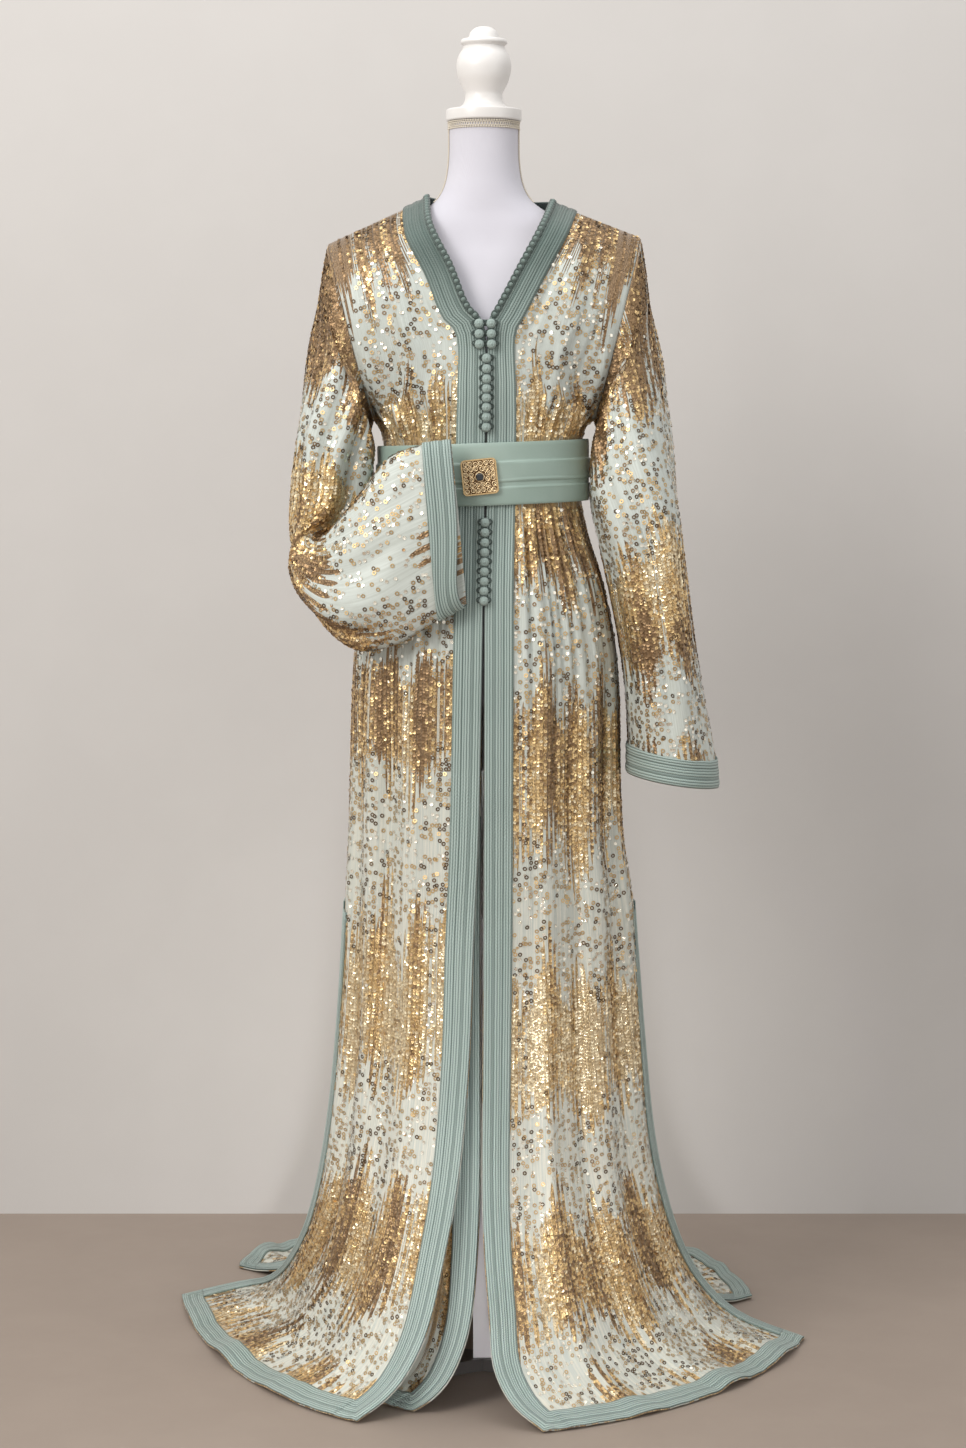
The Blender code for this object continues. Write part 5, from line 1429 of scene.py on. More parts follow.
def spots_on(net, rng, strings, down_step, jitter, rows, columns):
    """Places in lines down a net, as sequins are sewn; narrow stretches have fewer lines."""
    numbers = np.arange(len(net.points), dtype=float)
    near, far = (read_net(net.edge[0], numbers, np.full(len(numbers), side)) for side in columns)
    width = far - near
    line = net.line[-1]
    if strings:
        first, last = np.interp(columns, np.arange(len(line)), line)
        wanted = (np.arange(np.ceil(first / STRING), np.floor(last / STRING)) + 0.5) * STRING
        places = np.interp(wanted, line, np.arange(len(line)))
    else:
        places = np.linspace(*columns, int(width.max() / RING_STEP) + 2)[1:-1]
    found_rows, found_columns = [], []
    for k, column in enumerate(places):
        at = np.full(len(numbers), column)
        path = read_net(net.points, numbers, at)
        covered = distances(path)
        start, end = np.interp(rows, numbers, covered)
        down = np.arange(start + rng.uniform(0, down_step), end, down_step)
        down = down + rng.normal(0, jitter, len(down))
        row = np.interp(down, covered, numbers)
        here = np.interp(row, numbers, width)
        kept = (k * GOLDEN) % 1 < here / width.max()
        per_column = (columns[1] - columns[0]) / np.maximum(here, NARROWEST)
        side = column + rng.normal(0, jitter, len(down)) * per_column
        found_rows.append(row[kept])
        found_columns.append(np.clip(side, columns[0], columns[1])[kept])
    row = np.concatenate(found_rows)
    column = np.concatenate(found_columns)
    step = read_net(net.points, np.minimum(row + 0.5, len(net.points) - 1), column)
    place = read_net(net.points, row, column)
    return Spots(place, unit(read_net(net.normals, row, column)), unit(step - place + TINY),
                 read_net(net.along, row, column), read_net(net.line, row, column), column)


def pick(spots, chosen):
    return Spots(*(values[chosen] for values in spots))


def frames_of(spots, rng, lift, tilt):
    """Axes and origin of each sequin: lying on the cloth, turned and tilted a little."""
    normal = unit(spots.normal + rng.normal(0, tilt, spots.normal.shape))
    turn = rng.uniform(0, tau, len(normal))[:, None]
    first = unit(np.cross(normal, spots.down))
    second = np.cross(normal, first)
    across = first * np.cos(turn) + second * np.sin(turn)
    origin = spots.place + spots.normal * lift
    return np.stack((across, np.cross(normal, across), normal, origin), -1)


def shape_of(bm):
    """Points and triangles of a small shape, ready to be copied."""
    ops.triangulate(bm, faces=bm.faces)
    bm.verts.index_update()
    points = np.array([tuple(vert.co) for vert in bm.verts])
    faces = np.array([[vert.index for vert in face.verts] for face in bm.faces])
    bm.free()
    return points, faces


def joined(name, shape, frames, mat, nodes=()):
    """One mesh of many copies of a small shape."""
    points, faces = shape
    placed = np.einsum("nij,pj->npi", frames[:, :, :3], points) + frames[:, None, :, 3]
    offsets = (np.arange(len(frames)) * len(points))[:, None, None]
    mesh = bpy.data.meshes.new(name)
    mesh.from_pydata(placed.reshape(-1, 3), [], (faces[None] + offsets).reshape(-1, 3))
    return add_piece(name, smooth_faces(mesh), mat, nodes)


def turn_up(bm):
    """Turn the faces of a nearly flat shape so that they look up."""
    if sum(face.normal.z for face in bm.faces) < 0:
        ops.reverse_faces(bm, faces=bm.faces)


def cup_shape(radius, depth):
    bm = bmesh.new()
    ops.create_circle(bm, cap_ends=True, cap_tris=True, segments=DISC_SIDES, radius=radius)
    for vert in bm.verts:
        if vert.co.length < radius / 2:
            vert.co.z -= depth
    ops.recalc_face_normals(bm, faces=bm.faces)
    turn_up(bm)
    return shape_of(bm)


def ring_shape(radius, hole):
    bm = bmesh.new()
    ops.create_circle(bm, cap_ends=True, segments=RING_SIDES, radius=radius)
    ops.inset_region(bm, faces=bm.faces, thickness=radius - hole, use_boundary=True)
    inner = [face for face in bm.faces if len(face.verts) == RING_SIDES]
    ops.delete(bm, geom=inner, context="FACES")
    turn_up(bm)
    return shape_of(bm)


def clear_of(spots, piece):
    """The spots that aren't under the belt or on the bands of the side slits."""
    bare = np.zeros(len(spots.along), bool)
    if piece.belted:
        bare |= (spots.along > BELT_SPAN[0]) & (spots.along < BELT_SPAN[1])
    below = spots.along > SLIT - SLIT_ROOM
    if 0 in piece.bare_sides:
        bare |= below & (spots.column < SIDE_COLUMNS)
    if 1 in piece.bare_sides:
        bare |= below & (spots.column > piece.columns[1] - SIDE_COLUMNS)
    return pick(spots, ~bare)


def by_sort(spots, levels, limits, sorts):
    """Spots split where their levels pass the limits between the sorts."""
    number = np.digitize(levels, limits)
    return {sort: pick(spots, number == n) for n, sort in enumerate(sorts)}


def sew_cups(piece, rng, rows):
    """Cup sequins of the dense zones, by metal."""
    spots = spots_on(piece.net, rng, True, DOWN_STEP, CUP_JITTER, rows, piece.columns)
    spots = clear_of(spots, piece)
    zone = zone_at(spots.line, spots.along)
    spots = pick(spots, zone + rng.normal(0, ZONE_SCATTER, len(zone)) > 0.5)
    metal = tint_at(spots.line, spots.along) + rng.normal(0, METAL_SCATTER, len(spots.along))
    return by_sort(spots, metal, CUP_LIMITS, CUP_SORTS)


def sew_rings(piece, rng, rows):
    """Loose rings and single glints of the pale zones."""
    spots = spots_on(piece.net, rng, False, RING_STEP * RING_DOWN, RING_JITTER, rows, piece.columns)
    spots = clear_of(spots, piece)
    zone = zone_at(spots.line, spots.along)
    least, near, drift = CROWD
    crowd = least + near * profile_at(spots.line, spots.along)
    crowd += drift * np.sin(spots.line * 40) * np.sin(spots.along * 23 + 1)
    spots = pick(spots, (zone < LOOSE_BELOW) & (rng.uniform(size=len(zone)) < crowd))
    sort = rng.uniform(size=len(spots.along)) + 0.15 * np.sin(spots.line * 17 + spots.along * 5)
    return by_sort(spots, sort, RING_LIMITS, RING_SORTS)


def sew_sequins(pieces, metals):
    """Cup sequins in the dense zones; rings and single glints in the pale ones."""
    rng = np.random.default_rng(SEED)
    cup = cup_shape(DISC, DISC_DEPTH)
    ring = ring_shape(RING, RING * RING_HOLE)
    shapes = dict.fromkeys(CUP_SORTS, cup) | dict.fromkeys(RING_SORTS, ring)
    shapes["glint"] = cup_shape(RING * GLINT, GLINT_DEPTH)
    found = {sort: [] for sort in shapes}
    for piece in pieces:
        rows = (TOP_ROWS, len(piece.net.points) - 1 - EDGE_COLUMNS - HEM_ROWS)
        for sew in (sew_cups, sew_rings):
            for sort, spots in sew(piece, rng, rows).items():
                found[sort].append(spots)
    for sort, shape in shapes.items():
        spots = Spots(*(np.concatenate(values) for values in zip(*found[sort])))
        lift, tilt = (STITCH, CUP_TILT) if shape is cup else (STITCH + RING_LIFT, RING_TILT)
        joined("sequins_" + sort, shape, frames_of(spots, rng, lift, tilt), metals[sort])


# ---- buttons, knots and loops
BUTTON = 0.0056  # radius of a knotted button
BUTTONS = 23
BUTTON_CORDS = 3.6  # cords across it, how far they stand out and how round they are
CORD_BASE = 0.88
CORD_HEIGHT = 0.14
CORD_ROUND = 0.5
HEART = 0.0013
EAR = (0.98, 0.55, 0.001)  # its side loops: shares of its radius out and back, and height
KNOT_STEP = 0.0078  # between the loops down the neck edges
KNOT_END = 0.212  # along: where they end
KNOT_START = 0.3  # the first one's place, in steps
KNOT_AHEAD = 0.004
KNOT_LOOP = (0.92, 1.25)  # how much narrower and longer than round a loop is
LOOP_LIFT = 0.0006  # how far loops and knots stand off the braid
KNOT_LIFT = 0.0011
KNOT_DROP = 0.0006
NECK_KNOT = (0.0029, 10, 8)
FINE_WELD = 0.000001
# small rings: radius of the ring and of its cord, steps round it, sides of the cord
TORI = {
    "coil": (0.0031, 0.0009, 16, 6),
    "collar": (BUTTON * 0.92, 0.0011, 16, 6),
    "ear": (0.0030, 0.0011, 10, 5),
    "neck": (0.0036, 0.0014, 12, 6),
    "scroll": (0.0025, 0.0007, 14, 6),
    "curl": (0.0011, 0.0005, 10, 5),
    "setting": (0.0052, 0.0008, 20, 8),
    "gimp": (0.0019, 0.0006, 10, 5),
}


def torus_shape(kind):
    major, minor, around, segments = TORI[kind]
    bm = bmesh.new()
    made = ops.create_circle(bm, segments=segments, radius=minor)
    ops.rotate(bm, verts=made["verts"], matrix=Matrix.Rotation(pi / 2, 3, "X"))
    ops.translate(bm, verts=made["verts"], vec=(major, 0, 0))
    spun(bm, around, FINE_WELD)
    return shape_of(bm)


def ball_shape(radius, around=8, rows=6):
    bm = bmesh.new()
    ops.create_uvsphere(bm, u_segments=around, v_segments=rows, radius=radius)
    return shape_of(bm)


def knot_shape(radius):
    """A ball wound of parallel cords in three crossing directions."""
    bm = bmesh.new()
    ops.create_icosphere(bm, subdivisions=4, radius=radius)
    for vert in bm.verts:
        axis = [abs(part) / radius for part in vert.co]
        face = axis.index(max(axis))
        across = vert.co[(face + 1) % 3] / radius
        cord = abs(cos(across * BUTTON_CORDS * pi / 2))
        vert.co *= CORD_BASE + CORD_HEIGHT * cord ** CORD_ROUND
    return shape_of(bm)


def upright(places, lean=0.0):
    """Frames that face the front, at these places."""
    axes = np.array(((cos(lean), 0, -sin(lean)), (sin(lean), 0, cos(lean)), (0, -1, 0))).T
    return np.concatenate((np.repeat(axes[None], len(places), 0), np.array(places)[:, :, None]), 2)


def build_buttons(thread, dark):
    """Knotted buttons, each with a wound face, a collar of cord and a loop at each side."""
    names = ["button_%02d" % number for number in range(1, BUTTONS + 1)]
    boxes = [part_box(name) for name in names]
    places = np.array([tuple((low + high) / 2) for low, high in boxes])
    joined("knotted_buttons", knot_shape(BUTTON), upright(places), thread, names)
    # each part: name, shape, how far behind the button's middle in its radius, thread
    parts = (("button_coils", torus_shape("coil"), -0.72, thread),
             ("button_hearts", ball_shape(HEART), -0.92, thread),
             ("button_collars", torus_shape("collar"), 0.62, dark))
    for name, shape, behind, mat in parts:
        joined(name, shape, upright(places + (0, BUTTON * behind, 0)), mat)
    # the collars and side loops are real cord; their near-black thread is painted shade round each
    # button
    out, back, up = EAR
    ears = np.concatenate([places + (side * BUTTON * out, BUTTON * back, up) for side in (-1, 1)])
    joined("button_loops", torus_shape("ear"), upright(ears), dark)


def build_neck_knots(nets, thread, dark):
    """A chain of loops and small knots down each neck edge."""
    frames, balls = [], []
    narrow, long = KNOT_LOOP
    for hand in (LEFT, RIGHT):
        net = nets[hand]
        end = row_at(net, 0, KNOT_END)
        path = net.points[:end, 1] + net.normals[:end, 1] * (BAND_LIFT + CORD_RISE)
        covered = distances(path)
        count = int(covered[-1] / KNOT_STEP)
        for n in range(count):
            at = (n + KNOT_START) * covered[-1] / count
            place = point_at(at, covered, path)
            down = unit(point_at(at + KNOT_AHEAD, covered, path) - place)
            out = unit(point_at(at, covered, net.normals[:end, 1]))
            across = np.cross(down, out)
            frames.append(np.stack((across * narrow, down * long, out, place + out * LOOP_LIFT), -1))
            balls.append(np.stack((across, down, out, place + out * KNOT_LIFT + down * KNOT_DROP), -1))
    # the loops are real; their near-black thread is painted shade
    joined("neck_loops", torus_shape("neck"), np.array(frames), dark)
    joined("neck_knots", ball_shape(*NECK_KNOT), np.array(balls), thread)


# ---- belt and buckle
BELT_MIDDLE = Vector((0.0, -0.006, 1.134))
BELT_TALL = 0.074
BELT_WALL = 0.0026
BELT_TILT = 0.035  # how much higher the belt is for each metre to the right
BELT_REACH = (0.1284, 0.0944)  # half width and half depth of the belt's middle line
BELT_ROUND = 0.70  # length of that line
BELT_COLUMNS = 96
BELT_ROWS = 27
BELT_EDGE = 0.0006  # radius of the rounded edges
BELT_SHARP = radians(50)
# pleats: how far the satin stands out at each height, -1 at the lower edge and 1 at the upper
BELT_PLEATS = table(
    Value, (-1, 0.0003), (-0.96, 0.001), (-0.5, 0.0022), (-0.465, 0.0026), (-0.435, 0.0014),
    (-0.4, 0.001), (-0.27, 0.001), (-0.235, 0.0024), (-0.2, 0.0026), (-0.17, 0.002),
    (-0.1, 0.0021), (0.3, 0.0024), (0.355, 0.0026), (0.385, 0.0008), (0.42, 0.0004), (0.9, 0.0005),
    (0.97, 0.0002), (1, -0.0002))


def build_belt(mat):
    """A stiff band of satin in soft pleats that drift a little as they go round."""
    heights = np.concatenate((np.linspace(1, -1, BELT_ROWS), [pleat.along for pleat in BELT_PLEATS]))
    heights = np.unique(np.round(heights, 4))[::-1]
    around, height = np.meshgrid(np.linspace(0, 1, BELT_COLUMNS + 1), heights)
    angle = -around * tau
    drift = 0.012 * np.sin(angle * 3 + 1.0) + 0.008 * np.sin(angle * 7 + height * 2)
    out = value(BELT_PLEATS, height + drift * (1 - height ** 2))
    out = out + 0.0003 * np.sin(angle * 5 + height * 3) * (1 - height ** 4)
    x = BELT_MIDDLE.x + (BELT_REACH[0] + out) * np.cos(angle)
    y = BELT_MIDDLE.y + (BELT_REACH[1] + out) * np.sin(angle)
    z = BELT_MIDDLE.z + height * BELT_TALL / 2 + BELT_TILT * x
    points = np.stack((x, y, z), -1)
    points[:, -1] = points[:, 0]
    uv = np.stack((around * BELT_ROUND, height * BELT_TALL / 2), -1)
    mesh = grid_mesh("belt_band", points, uv, flip=True, closed=True)
    belt = wall(add_piece("belt_band", mesh, mat, ["belt"]), BELT_WALL)
    edge = belt.modifiers.new("edge", "BEVEL")
    edge.width = BELT_EDGE
    edge.segments = 2
    edge.limit_method = "ANGLE"
    edge.angle_limit = BELT_SHARP


BUCKLE_TURN = radians(-6.0)
BUCKLE_HALF = 0.0215
BUCKLE_CORNER = 0.0050
BUCKLE_RIM = 0.0019  # width of the raised rim
BUCKLE_EDGE = 0.0003  # width of its slope and of its rounded edges
BUCKLE_SUNK = 0.0011  # how deep the face inside it lies
RIM_ANGLE = 1.0  # edges sharper than this are rounded
GROUND_INSET = 0.0042  # how much smaller than the plate the dark ground is
GROUND_CORNER = 0.0032
GROUND_THICK = 0.0004
GROUND_DEPTH = 0.0010
STONE_SIZE = (0.0076, 0.0024, 0.0076)
STONE_EDGE = 0.0009
STONE_OUT = 0.0016
SCROLL_GRID = 6  # scrolls along each side of the face
SCROLL_INSET = 0.0024
SCROLL_STRAY = 0.00035
SCROLL_SEED = 8
CURL_SHIFT = (0.0004, -0.0003)
SCROLL_DEPTH = 0.0002  # how far behind the plate's face scrolls and grains lie
GRAIN_DEPTH = 0.0006
GRAIN = 0.0009


def upright_edges(bm):
    """The edges that run from front to back."""
    return [edge for edge in bm.edges
            if abs((edge.verts[0].co - edge.verts[1].co).normalized().y) > 0.9]


def block(size):
    bm = bmesh.new()
    ops.create_cube(bm, size=1)
    ops.scale(bm, verts=bm.verts, vec=size)
    return bm


def rounded(bm, edges, radius, segments):
    ops.bevel(bm, geom=edges, offset=radius, affect="EDGES", segments=segments, profile=0.5,
              material=-1)


def add_block(bm, name, place, mat, nodes=()):
    """Turn a block with the buckle, put it in its place and make it a piece."""
    ops.rotate(bm, verts=bm.verts, matrix=Matrix.Rotation(BUCKLE_TURN, 3, "Y"))
    ops.translate(bm, verts=bm.verts, vec=place)
    add_piece(name, to_mesh(bm, name), mat, nodes)


def buckle_plate(thick):
    """A plate with rounded corners, its front sunk inside a raised rim."""
    bm = block((2 * BUCKLE_HALF, thick, 2 * BUCKLE_HALF))
    rounded(bm, upright_edges(bm), BUCKLE_CORNER, 6)
    front = [side for side in bm.faces if side.normal.y < -0.9]
    ops.inset_region(bm, faces=front, thickness=BUCKLE_RIM, use_boundary=True)
    ops.inset_region(bm, faces=front, thickness=BUCKLE_EDGE, depth=-BUCKLE_SUNK, use_boundary=True)
    rims = [edge for edge in bm.edges if not edge.is_boundary and edge.calc_face_angle() > RIM_ANGLE]
    rounded(bm, rims, BUCKLE_EDGE, 2)
    return bm


def scroll_places(step):
    """Where scrolls, the curls inside them and the grains between them lie on the face."""
    rng = np.random.default_rng(SCROLL_SEED)
    scrolls, curls, grains = [], [], []
    for i in range(SCROLL_GRID):
        for j in range(SCROLL_GRID):
            x, z = (i - (SCROLL_GRID - 1) / 2) * step, (j - (SCROLL_GRID - 1) / 2) * step
            if max(abs(x), abs(z)) < step:
                continue
            nudge = rng.normal(0, SCROLL_STRAY, 2)
            scrolls.append((x + nudge[0], z + nudge[1]))
            curls.append((x + nudge[0] * 2 + CURL_SHIFT[0], z + nudge[1] * 2 + CURL_SHIFT[1]))
    for i in range(SCROLL_GRID + 1):
        for j in range(SCROLL_GRID + 1):
            x, z = (i - SCROLL_GRID / 2) * step * 0.97, (j - SCROLL_GRID / 2) * step * 0.97
            if max(abs(x), abs(z)) > step * 0.9:
                grains.append((x, z))
    return scrolls, curls, grains


def build_buckle(metals, stone):
    """Filigree in the buckle's sunk face: scrolls, grains and a set stone."""
    filigree = metals["filigree"]
    low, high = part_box("buckle")
    middle = np.array((low + high) / 2)
    face = middle * (1, 0, 1) + (0, low.y, 0)
    right = np.array((cos(BUCKLE_TURN), 0, -sin(BUCKLE_TURN)))
    up = np.array((sin(BUCKLE_TURN), 0, cos(BUCKLE_TURN)))
    add_block(buckle_plate(high.y - low.y), "buckle_plate", middle, metals["plate"], ["buckle"])
    side = 2 * BUCKLE_HALF - GROUND_INSET
    bm = block((side, GROUND_THICK, side))
    rounded(bm, upright_edges(bm), GROUND_CORNER, 5)
    add_block(bm, "buckle_ground", face + (0, GROUND_DEPTH, 0), metals["ground"])

    def frames(places, depth):
        return upright([face + right * x + up * z + (0, depth, 0) for x, z in places], BUCKLE_TURN)

    scrolls, curls, grains = scroll_places((BUCKLE_HALF - SCROLL_INSET) * 2 / SCROLL_GRID)
    joined("buckle_scrolls", torus_shape("scroll"), frames(scrolls, SCROLL_DEPTH), filigree)
    joined("buckle_coils", torus_shape("curl"), frames(curls, SCROLL_DEPTH), filigree)
    joined("buckle_grains", ball_shape(GRAIN), frames(grains, GRAIN_DEPTH), filigree)
    joined("stone_setting", torus_shape("setting"), frames([(0, 0)], SCROLL_DEPTH), filigree)
    bm = block(STONE_SIZE)
    rounded(bm, bm.edges[:], STONE_EDGE, 3)
    add_block(bm, "cut_stone", face - (0, STONE_OUT, 0), stone, ["buckle_stone"])


# ---- dress form and stand
FORM_X = 0.001
# half width, half depth and y of the form's sections, by minus their height
FORM = table(
    Point, (-1.56, 0.0425, 0.0425, 0.006), (-1.52, 0.0425, 0.0425, 0.005),
    (-1.495, 0.045, 0.0435, 0.004), (-1.478, 0.05, 0.045, 0.003), (-1.4632, 0.06, 0.046, 0.002),
    (-1.4494, 0.08, 0.048, 0.002), (-1.4334, 0.112, 0.052, 0.002), (-1.4107, 0.14, 0.058, 0.002),
    (-1.385, 0.153, 0.066, 0.001), (-1.345, 0.154, 0.075, 0), (-1.29, 0.138, 0.084, 0),
    (-1.21, 0.12, 0.078, -0.002), (-1.13, 0.108, 0.07, -0.004), (-1.05, 0.121, 0.08, -0.002),
    (-0.96, 0.137, 0.093, 0), (-0.88, 0.138, 0.096, 0), (-0.845, 0.13, 0.09, 0),
    (-0.835, 0.11, 0.074, 0))
NECK_TOP = 1.560
FORM_HEIGHTS = ((NECK_TOP, 1.40, 44), (1.395, 0.835, 60))  # from, to and rings of points
FORM_TURNS = 97
FORM_REACH = 0.13  # mean radius, for the cover's pattern
GIMP_LOOPS = 84
GIMP_OUT = 0.0009  # how far gimp and beads stand off the cover
GIMP_DROP = 0.0052  # middle of the loops below the neck's top
GIMP_TALL = 1.25  # how much taller than round a loop is
CORD_DROPS = (0.0012, 0.0092)  # the two cords that edge them
CORD_BEAD = 0.0011
CORD_LONG = 1.5
BEAD = 0.00115  # the fine beaded line down each side of the neck
BEAD_STEP = 0.00215
BEAD_TURNS = (pi + 0.16, -0.16)
BEAD_TOP = 0.011
BEAD_END = 1.4615
BEAD_SAMPLES = 44


def form_points(height, angle):
    """Points of the form's surface at these heights and turns."""
    section = curve(FORM, -np.asarray(height, float))
    return np.stack((FORM_X + section[..., 0] * np.cos(angle),
                     section[..., 2] + section[..., 1] * np.sin(angle), height + 0 * angle), -1)


def build_form(cover):
    """The form's cloth cover, closed at the neck and under the waist."""
    heights = np.concatenate([np.linspace(*span) for span in FORM_HEIGHTS])
    angle, height = np.meshgrid(np.linspace(0, tau, FORM_TURNS), heights)
    points = form_points(height, angle)
    points[:, -1] = points[:, 0]
    uv = np.stack((angle * FORM_REACH, height), -1)
    mesh = grid_mesh("form_cover", points, uv, closed=True)
    bm = bmesh.new()
    bm.from_mesh(mesh)
    rims = [edge for edge in bm.edges if edge.is_boundary]
    ops.holes_fill(bm, edges=rims, sides=2 * FORM_TURNS)
    ops.recalc_face_normals(bm, faces=bm.faces)
    bm.to_mesh(mesh)
    bm.free()
    add_piece("form_cover", mesh, cover, ["form"])


def build_gimp(gimp):
    """A band of gimp round the top of the neck: loops between two cords."""
    loops, cords = [], []
    for turn in np.arange(GIMP_LOOPS) * tau / GIMP_LOOPS:
        out = np.array((cos(turn), sin(turn), 0))
        side = np.array((-sin(turn), cos(turn), 0))
        top = np.array((FORM_X, FORM[0].z, NECK_TOP)) + out * (FORM[0].x + GIMP_OUT)
        loops.append(np.stack((side, (0, 0, GIMP_TALL), out, top - (0, 0, GIMP_DROP)), -1))
        for drop in CORD_DROPS:
            cords.append(np.stack((side * CORD_LONG, (0, 0, 1), out, top - (0, 0, drop)), -1))
    joined("gimp_loops", torus_shape("gimp"), np.array(loops), gimp, ["form_braid"])
    joined("gimp_cords", ball_shape(CORD_BEAD), np.array(cords), gimp)


def build_neck_beads(gimp):
    beads = []
    for turn in BEAD_TURNS:
        heights = np.linspace(NECK_TOP - BEAD_TOP, BEAD_END, BEAD_SAMPLES)
        path = form_points(heights, np.full(len(heights), turn))
        covered = distances(path)
        out = np.array((cos(turn), sin(turn), 0))
        for at in np.arange(0, covered[-1], BEAD_STEP):
            place = point_at(at, covered, path) + out * GIMP_OUT
            beads.append(np.concatenate((np.eye(3), place[:, None]), 1))
    joined("neck_beads", ball_shape(BEAD), np.array(beads), gimp)


TURNED_STEPS = 72
PROFILE_STEPS = 4
TURNED_GAP = 0.0003
TURNED_SHARP = radians(48)
CAP_TALL = 0.0145
CAP_RIM = 0.0460
CAP_EDGE = 0.0022
CAP_ROUND = 6  # points of each rounded edge
CAP_FLAT = 0.002
# profiles of the finial's parts, from its top, as (radius, height) points
FINIAL_PARTS = (
    ((0, 0.0990), (0.0070, 0.0984), (0.0122, 0.0962), (0.0163, 0.0922), (0.0182, 0.0872),
     (0.0186, 0.0846)),
    ((0.0200, 0.0842), (0.0262, 0.0836), (0.0283, 0.0812), (0.0283, 0.0786), (0.0262, 0.0764),
     (0.0250, 0.0750)),
    ((0.0262, 0.0715), (0.0308, 0.0640), (0.0331, 0.0560), (0.0333, 0.0480), (0.0314, 0.0375),
     (0.0272, 0.0275), (0.0236, 0.0205)),
    ((0.0226, 0.0180), (0.0232, 0.0115), (0.0258, 0.0058), (0.0300, 0.0022), (0.0310, 0.0)),
)


def turned_piece(name, profile, mat, node):
    """A turned piece: a profile of (radius, z) points spun about the form's axis."""
    bm = bmesh.new()
    verts = [bm.verts.new((radius, 0, z)) for radius, z in profile]
    for first, second in zip(verts, verts[1:]):
        bm.edges.new((first, second))
    spun(bm, TURNED_STEPS, WELD)
    ops.translate(bm, verts=bm.verts, vec=(FORM_X, FORM[0].z, 0))
    mesh = smooth_faces(to_mesh(bm, name))
    mesh.set_sharp_from_angle(angle=TURNED_SHARP)
    add_piece(name, mesh, mat, [node])


def rounded_profile(points):
    """A smooth line through (radius, height) points."""
    rows = [Point(n, radius, 0, z) for n, (radius, z) in enumerate(points)]
    last = len(points) - 1
    places = curve(rows, np.linspace(0, last, last * PROFILE_STEPS + 1))
    return [(max(0.0, float(x)), float(z)) for x, z in places[:, (0, 2)]]


def build_turned_pieces(paint):
    low = NECK_TOP + TURNED_GAP
    high = low + CAP_TALL
    inner = CAP_RIM - CAP_EDGE
    bends = np.linspace(0, pi / 2, CAP_ROUND)
    cap = [(0, high), (inner - CAP_FLAT, high)]
    cap += [(inner + CAP_EDGE * sin(a), high - CAP_EDGE + CAP_EDGE * cos(a)) for a in bends]
    cap += [(inner + CAP_EDGE * cos(a), low + CAP_EDGE - CAP_EDGE * sin(a)) for a in bends]
    cap += [(0, low)]
    turned_piece("cap_turned", cap, paint, "form_cap")
    foot = high + TURNED_GAP
    profile = []
    for part in FINIAL_PARTS:
        profile += rounded_profile(part)
    profile.append((0, 0.0))
    turned_piece("finial_turned", [(radius, foot + z) for radius, z in profile], paint,
                 "form_finial")


def paint_stand(paints):
    """The post and the foot keep the shape of their solids; the foot's near-black paint is painted
    shade, and the post's paint is made whiter than the cap's, painted light.
    """
    for node, mat in paints.items():
        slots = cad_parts[node].data.materials
        slots.clear()
        slots.append(mat)


# ---- stage, lights, camera
STAGE_HALF = 3.0  # half width of floor and backdrop
STAGE_NEAR = -4.5
STAGE_FAR = 0.72
STAGE_TALL = 3.2
SKY_COLOUR = (1.0, 0.985, 0.965, 1)
SKY_POWER = 0.69
# each light: name, place, what it looks at, size, power, colour and how wide it shines, in degrees
LIGHTS = (
    ("key", (-2.2, -2.6, 2.9), (0, 0, 0.95), (1.6, 1.8), 87, (1.0, 0.97, 0.93), 180),
    ("fill", (2.6, -2.2, 1.6), (0, 0, 0.8), (1.4, 1.8), 7, (0.97, 0.98, 1.0), 180),
    ("low", (0.0, -3.1, 0.30), (0, 0, 0.14), (0.25, 0.2), 0.5, (1.0, 0.99, 1.0), 22),
    ("top", (0.0, -0.4, 3.2), (0, 0, 1.0), (1.6, 1.2), 16, (1.0, 1.0, 1.0), 180),
)
CAMERA_PLACE = (0.0, -3.6, 1.2)
CAMERA_TILT = radians(5.98)  # down from level
LENS = 72.4  # millimetres, as the sensor
SENSOR = 36.0


def add_stage(name, mat, corners):
    """A flat rectangle: near left, near right, far left and far right corner."""
    bm = bmesh.new()
    ops.create_grid(bm, x_segments=1, y_segments=1, size=0.5)
    for vert in bm.verts:
        right = vert.co.x > 0
        far = vert.co.y > 0
        vert.co = corners[far * 2 + right]
    mesh = to_mesh(bm, name)
    mesh.materials.append(mat)
    add_object(name, mesh)


def one_sided(mat):
    """A backdrop shows only from its front, so that it hides nothing from behind."""
    nodes = Nodes(mat.node_tree)
    shader = mat.node_tree.nodes["Principled BSDF"]
    output = mat.node_tree.nodes["Material Output"]
    clear = nodes.add("BsdfTransparent")
    geometry = nodes.add("NewGeometry")
    blend = nodes.add("MixShader")
    nodes.join(geometry.outputs["Backfacing"], blend.inputs[0])
    nodes.join(shader.outputs[0], blend.inputs[1])
    nodes.join(clear.outputs[0], blend.inputs[2])
    nodes.join(blend.outputs[0], output.inputs["Surface"])
    return mat


def add_light(name, place, aim, size, power, colour, spread):
    light = bpy.data.lights.new(name, "AREA")
    light.shape = "RECTANGLE"
    light.size, light.size_y = size
    light.energy = power
    light.color = colour
    light.spread = radians(spread)
    obj = add_object(name, light)
    obj.location = place
    obj.rotation_euler = (Vector(aim) - Vector(place)).to_track_quat("-Z", "Y").to_euler()


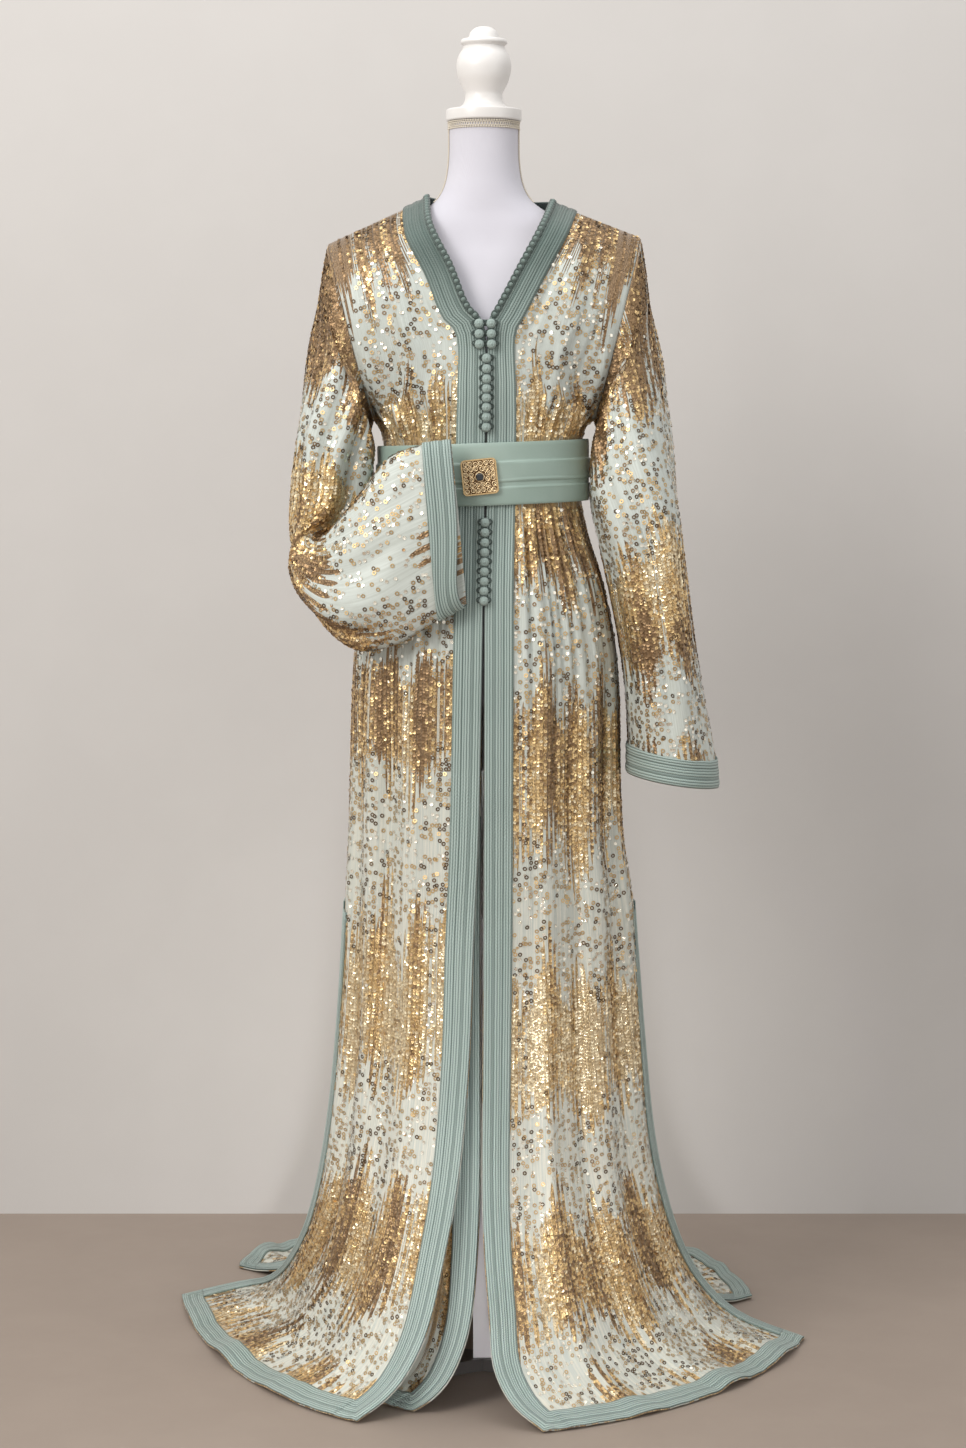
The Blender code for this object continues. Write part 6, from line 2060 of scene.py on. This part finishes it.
def build_stage():
    floor = make_stage("pale floor", *FLOOR_COLOURS, 0.6)
    wall_paint = make_stage("pale wall", *WALL_COLOURS, 0.9)
    near = [(x, STAGE_NEAR, 0) for x in (-STAGE_HALF, STAGE_HALF)]
    far = [(x, STAGE_FAR, 0) for x in (-STAGE_HALF, STAGE_HALF)]
    above = [(x, STAGE_FAR, STAGE_TALL) for x in (-STAGE_HALF, STAGE_HALF)]
    add_stage("floor", floor, near + far)
    add_stage("backdrop", one_sided(wall_paint), far + above)
    world = bpy.data.worlds.new("soft studio")
    bpy.context.scene.world = world
    world.use_nodes = True
    sky = world.node_tree.nodes["Background"].inputs
    sky["Color"].default_value = SKY_COLOUR
    sky["Strength"].default_value = SKY_POWER
    for facts in LIGHTS:
        add_light(*facts)
    bpy.context.scene.view_settings.view_transform = "Standard"


def add_camera():
    """A camera at eye height in front, tipped a little down."""
    camera = bpy.data.cameras.new("camera")
    camera.lens = LENS
    camera.sensor_width = SENSOR
    obj = add_object("camera", camera)
    obj.location = CAMERA_PLACE
    obj.rotation_euler = (pi / 2 - CAMERA_TILT, 0, 0)
    bpy.context.scene.camera = obj


# ---- make it all
add_camera()
make_drips_group()
make_sequins_group()
make_weave_group()
make_cord_group()
make_wear_group()
satin = make_sequinned_satin()
braid = make_braid()
stone = make_stone()
gimp = make_gimp()
thread = make_knot_thread("sage knot thread", SAGE, SAGE_HIGHLIGHT_AND_PALE)
# the neck's knots take the braid's painted neck shade
neck_thread = make_knot_thread("neck knot thread", SAGE_NECK_SHADE, SAGE)
# near-black loop thread: painted shade round the buttons and the neck's knots
loop_shade_thread = make_knot_thread("sage loop thread in painted shade", SAGE_LOOP_SHADE, SAGE_NECK_SHADE)
metals = {sort: make_metal(*facts) for sort, facts in METALS.items()}

nets = {hand: build_front(hand, satin, braid) for hand in (LEFT, RIGHT)}
back = build_back(satin, braid)
inner = build_inner(satin, braid)
sleeves = [build_sleeve(hand, satin, braid) for hand in (LEFT, RIGHT)]
build_neck_band(braid)
first = EDGE_COLUMNS + BAND_ROOM
front_cells = (first, EDGE_COLUMNS + FRONT_MIDDLE + SIDE_COLUMNS)
back_cells = (0, BACK_MIDDLE + 2 * SIDE_COLUMNS)
sewn = [Sewn(nets[hand], front_cells, (1,), True) for hand in (LEFT, RIGHT)]
sewn.append(Sewn(back, back_cells, (0, 1), True))
sewn.append(Sewn(inner, (first, EDGE_COLUMNS + INNER_MIDDLE), (1,), True))
sewn += [Sewn(net, (0, SLEEVE_COLUMNS), (), False) for net in sleeves]
sew_sequins(sewn, metals)
build_buttons(thread, loop_shade_thread)
build_neck_knots(nets, neck_thread, loop_shade_thread)
build_belt(make_belt_satin())
build_buckle(metals, stone)
build_form(make_cloth_cover())
build_gimp(gimp)
build_neck_beads(gimp)
build_turned_pieces(make_paint("cream painted wood", *CREAM_PAINT))
# painted light: the post's paint is whiter than the cap's cream paint
paint_stand({"post": make_paint("white painted post", *LIT_POST_PAINT),
             # painted shade: the foot's near-black paint stands for the shadow under the skirt
             "base": make_paint("foot in painted shade", *FOOT_SHADE_PAINT)})
build_stage()
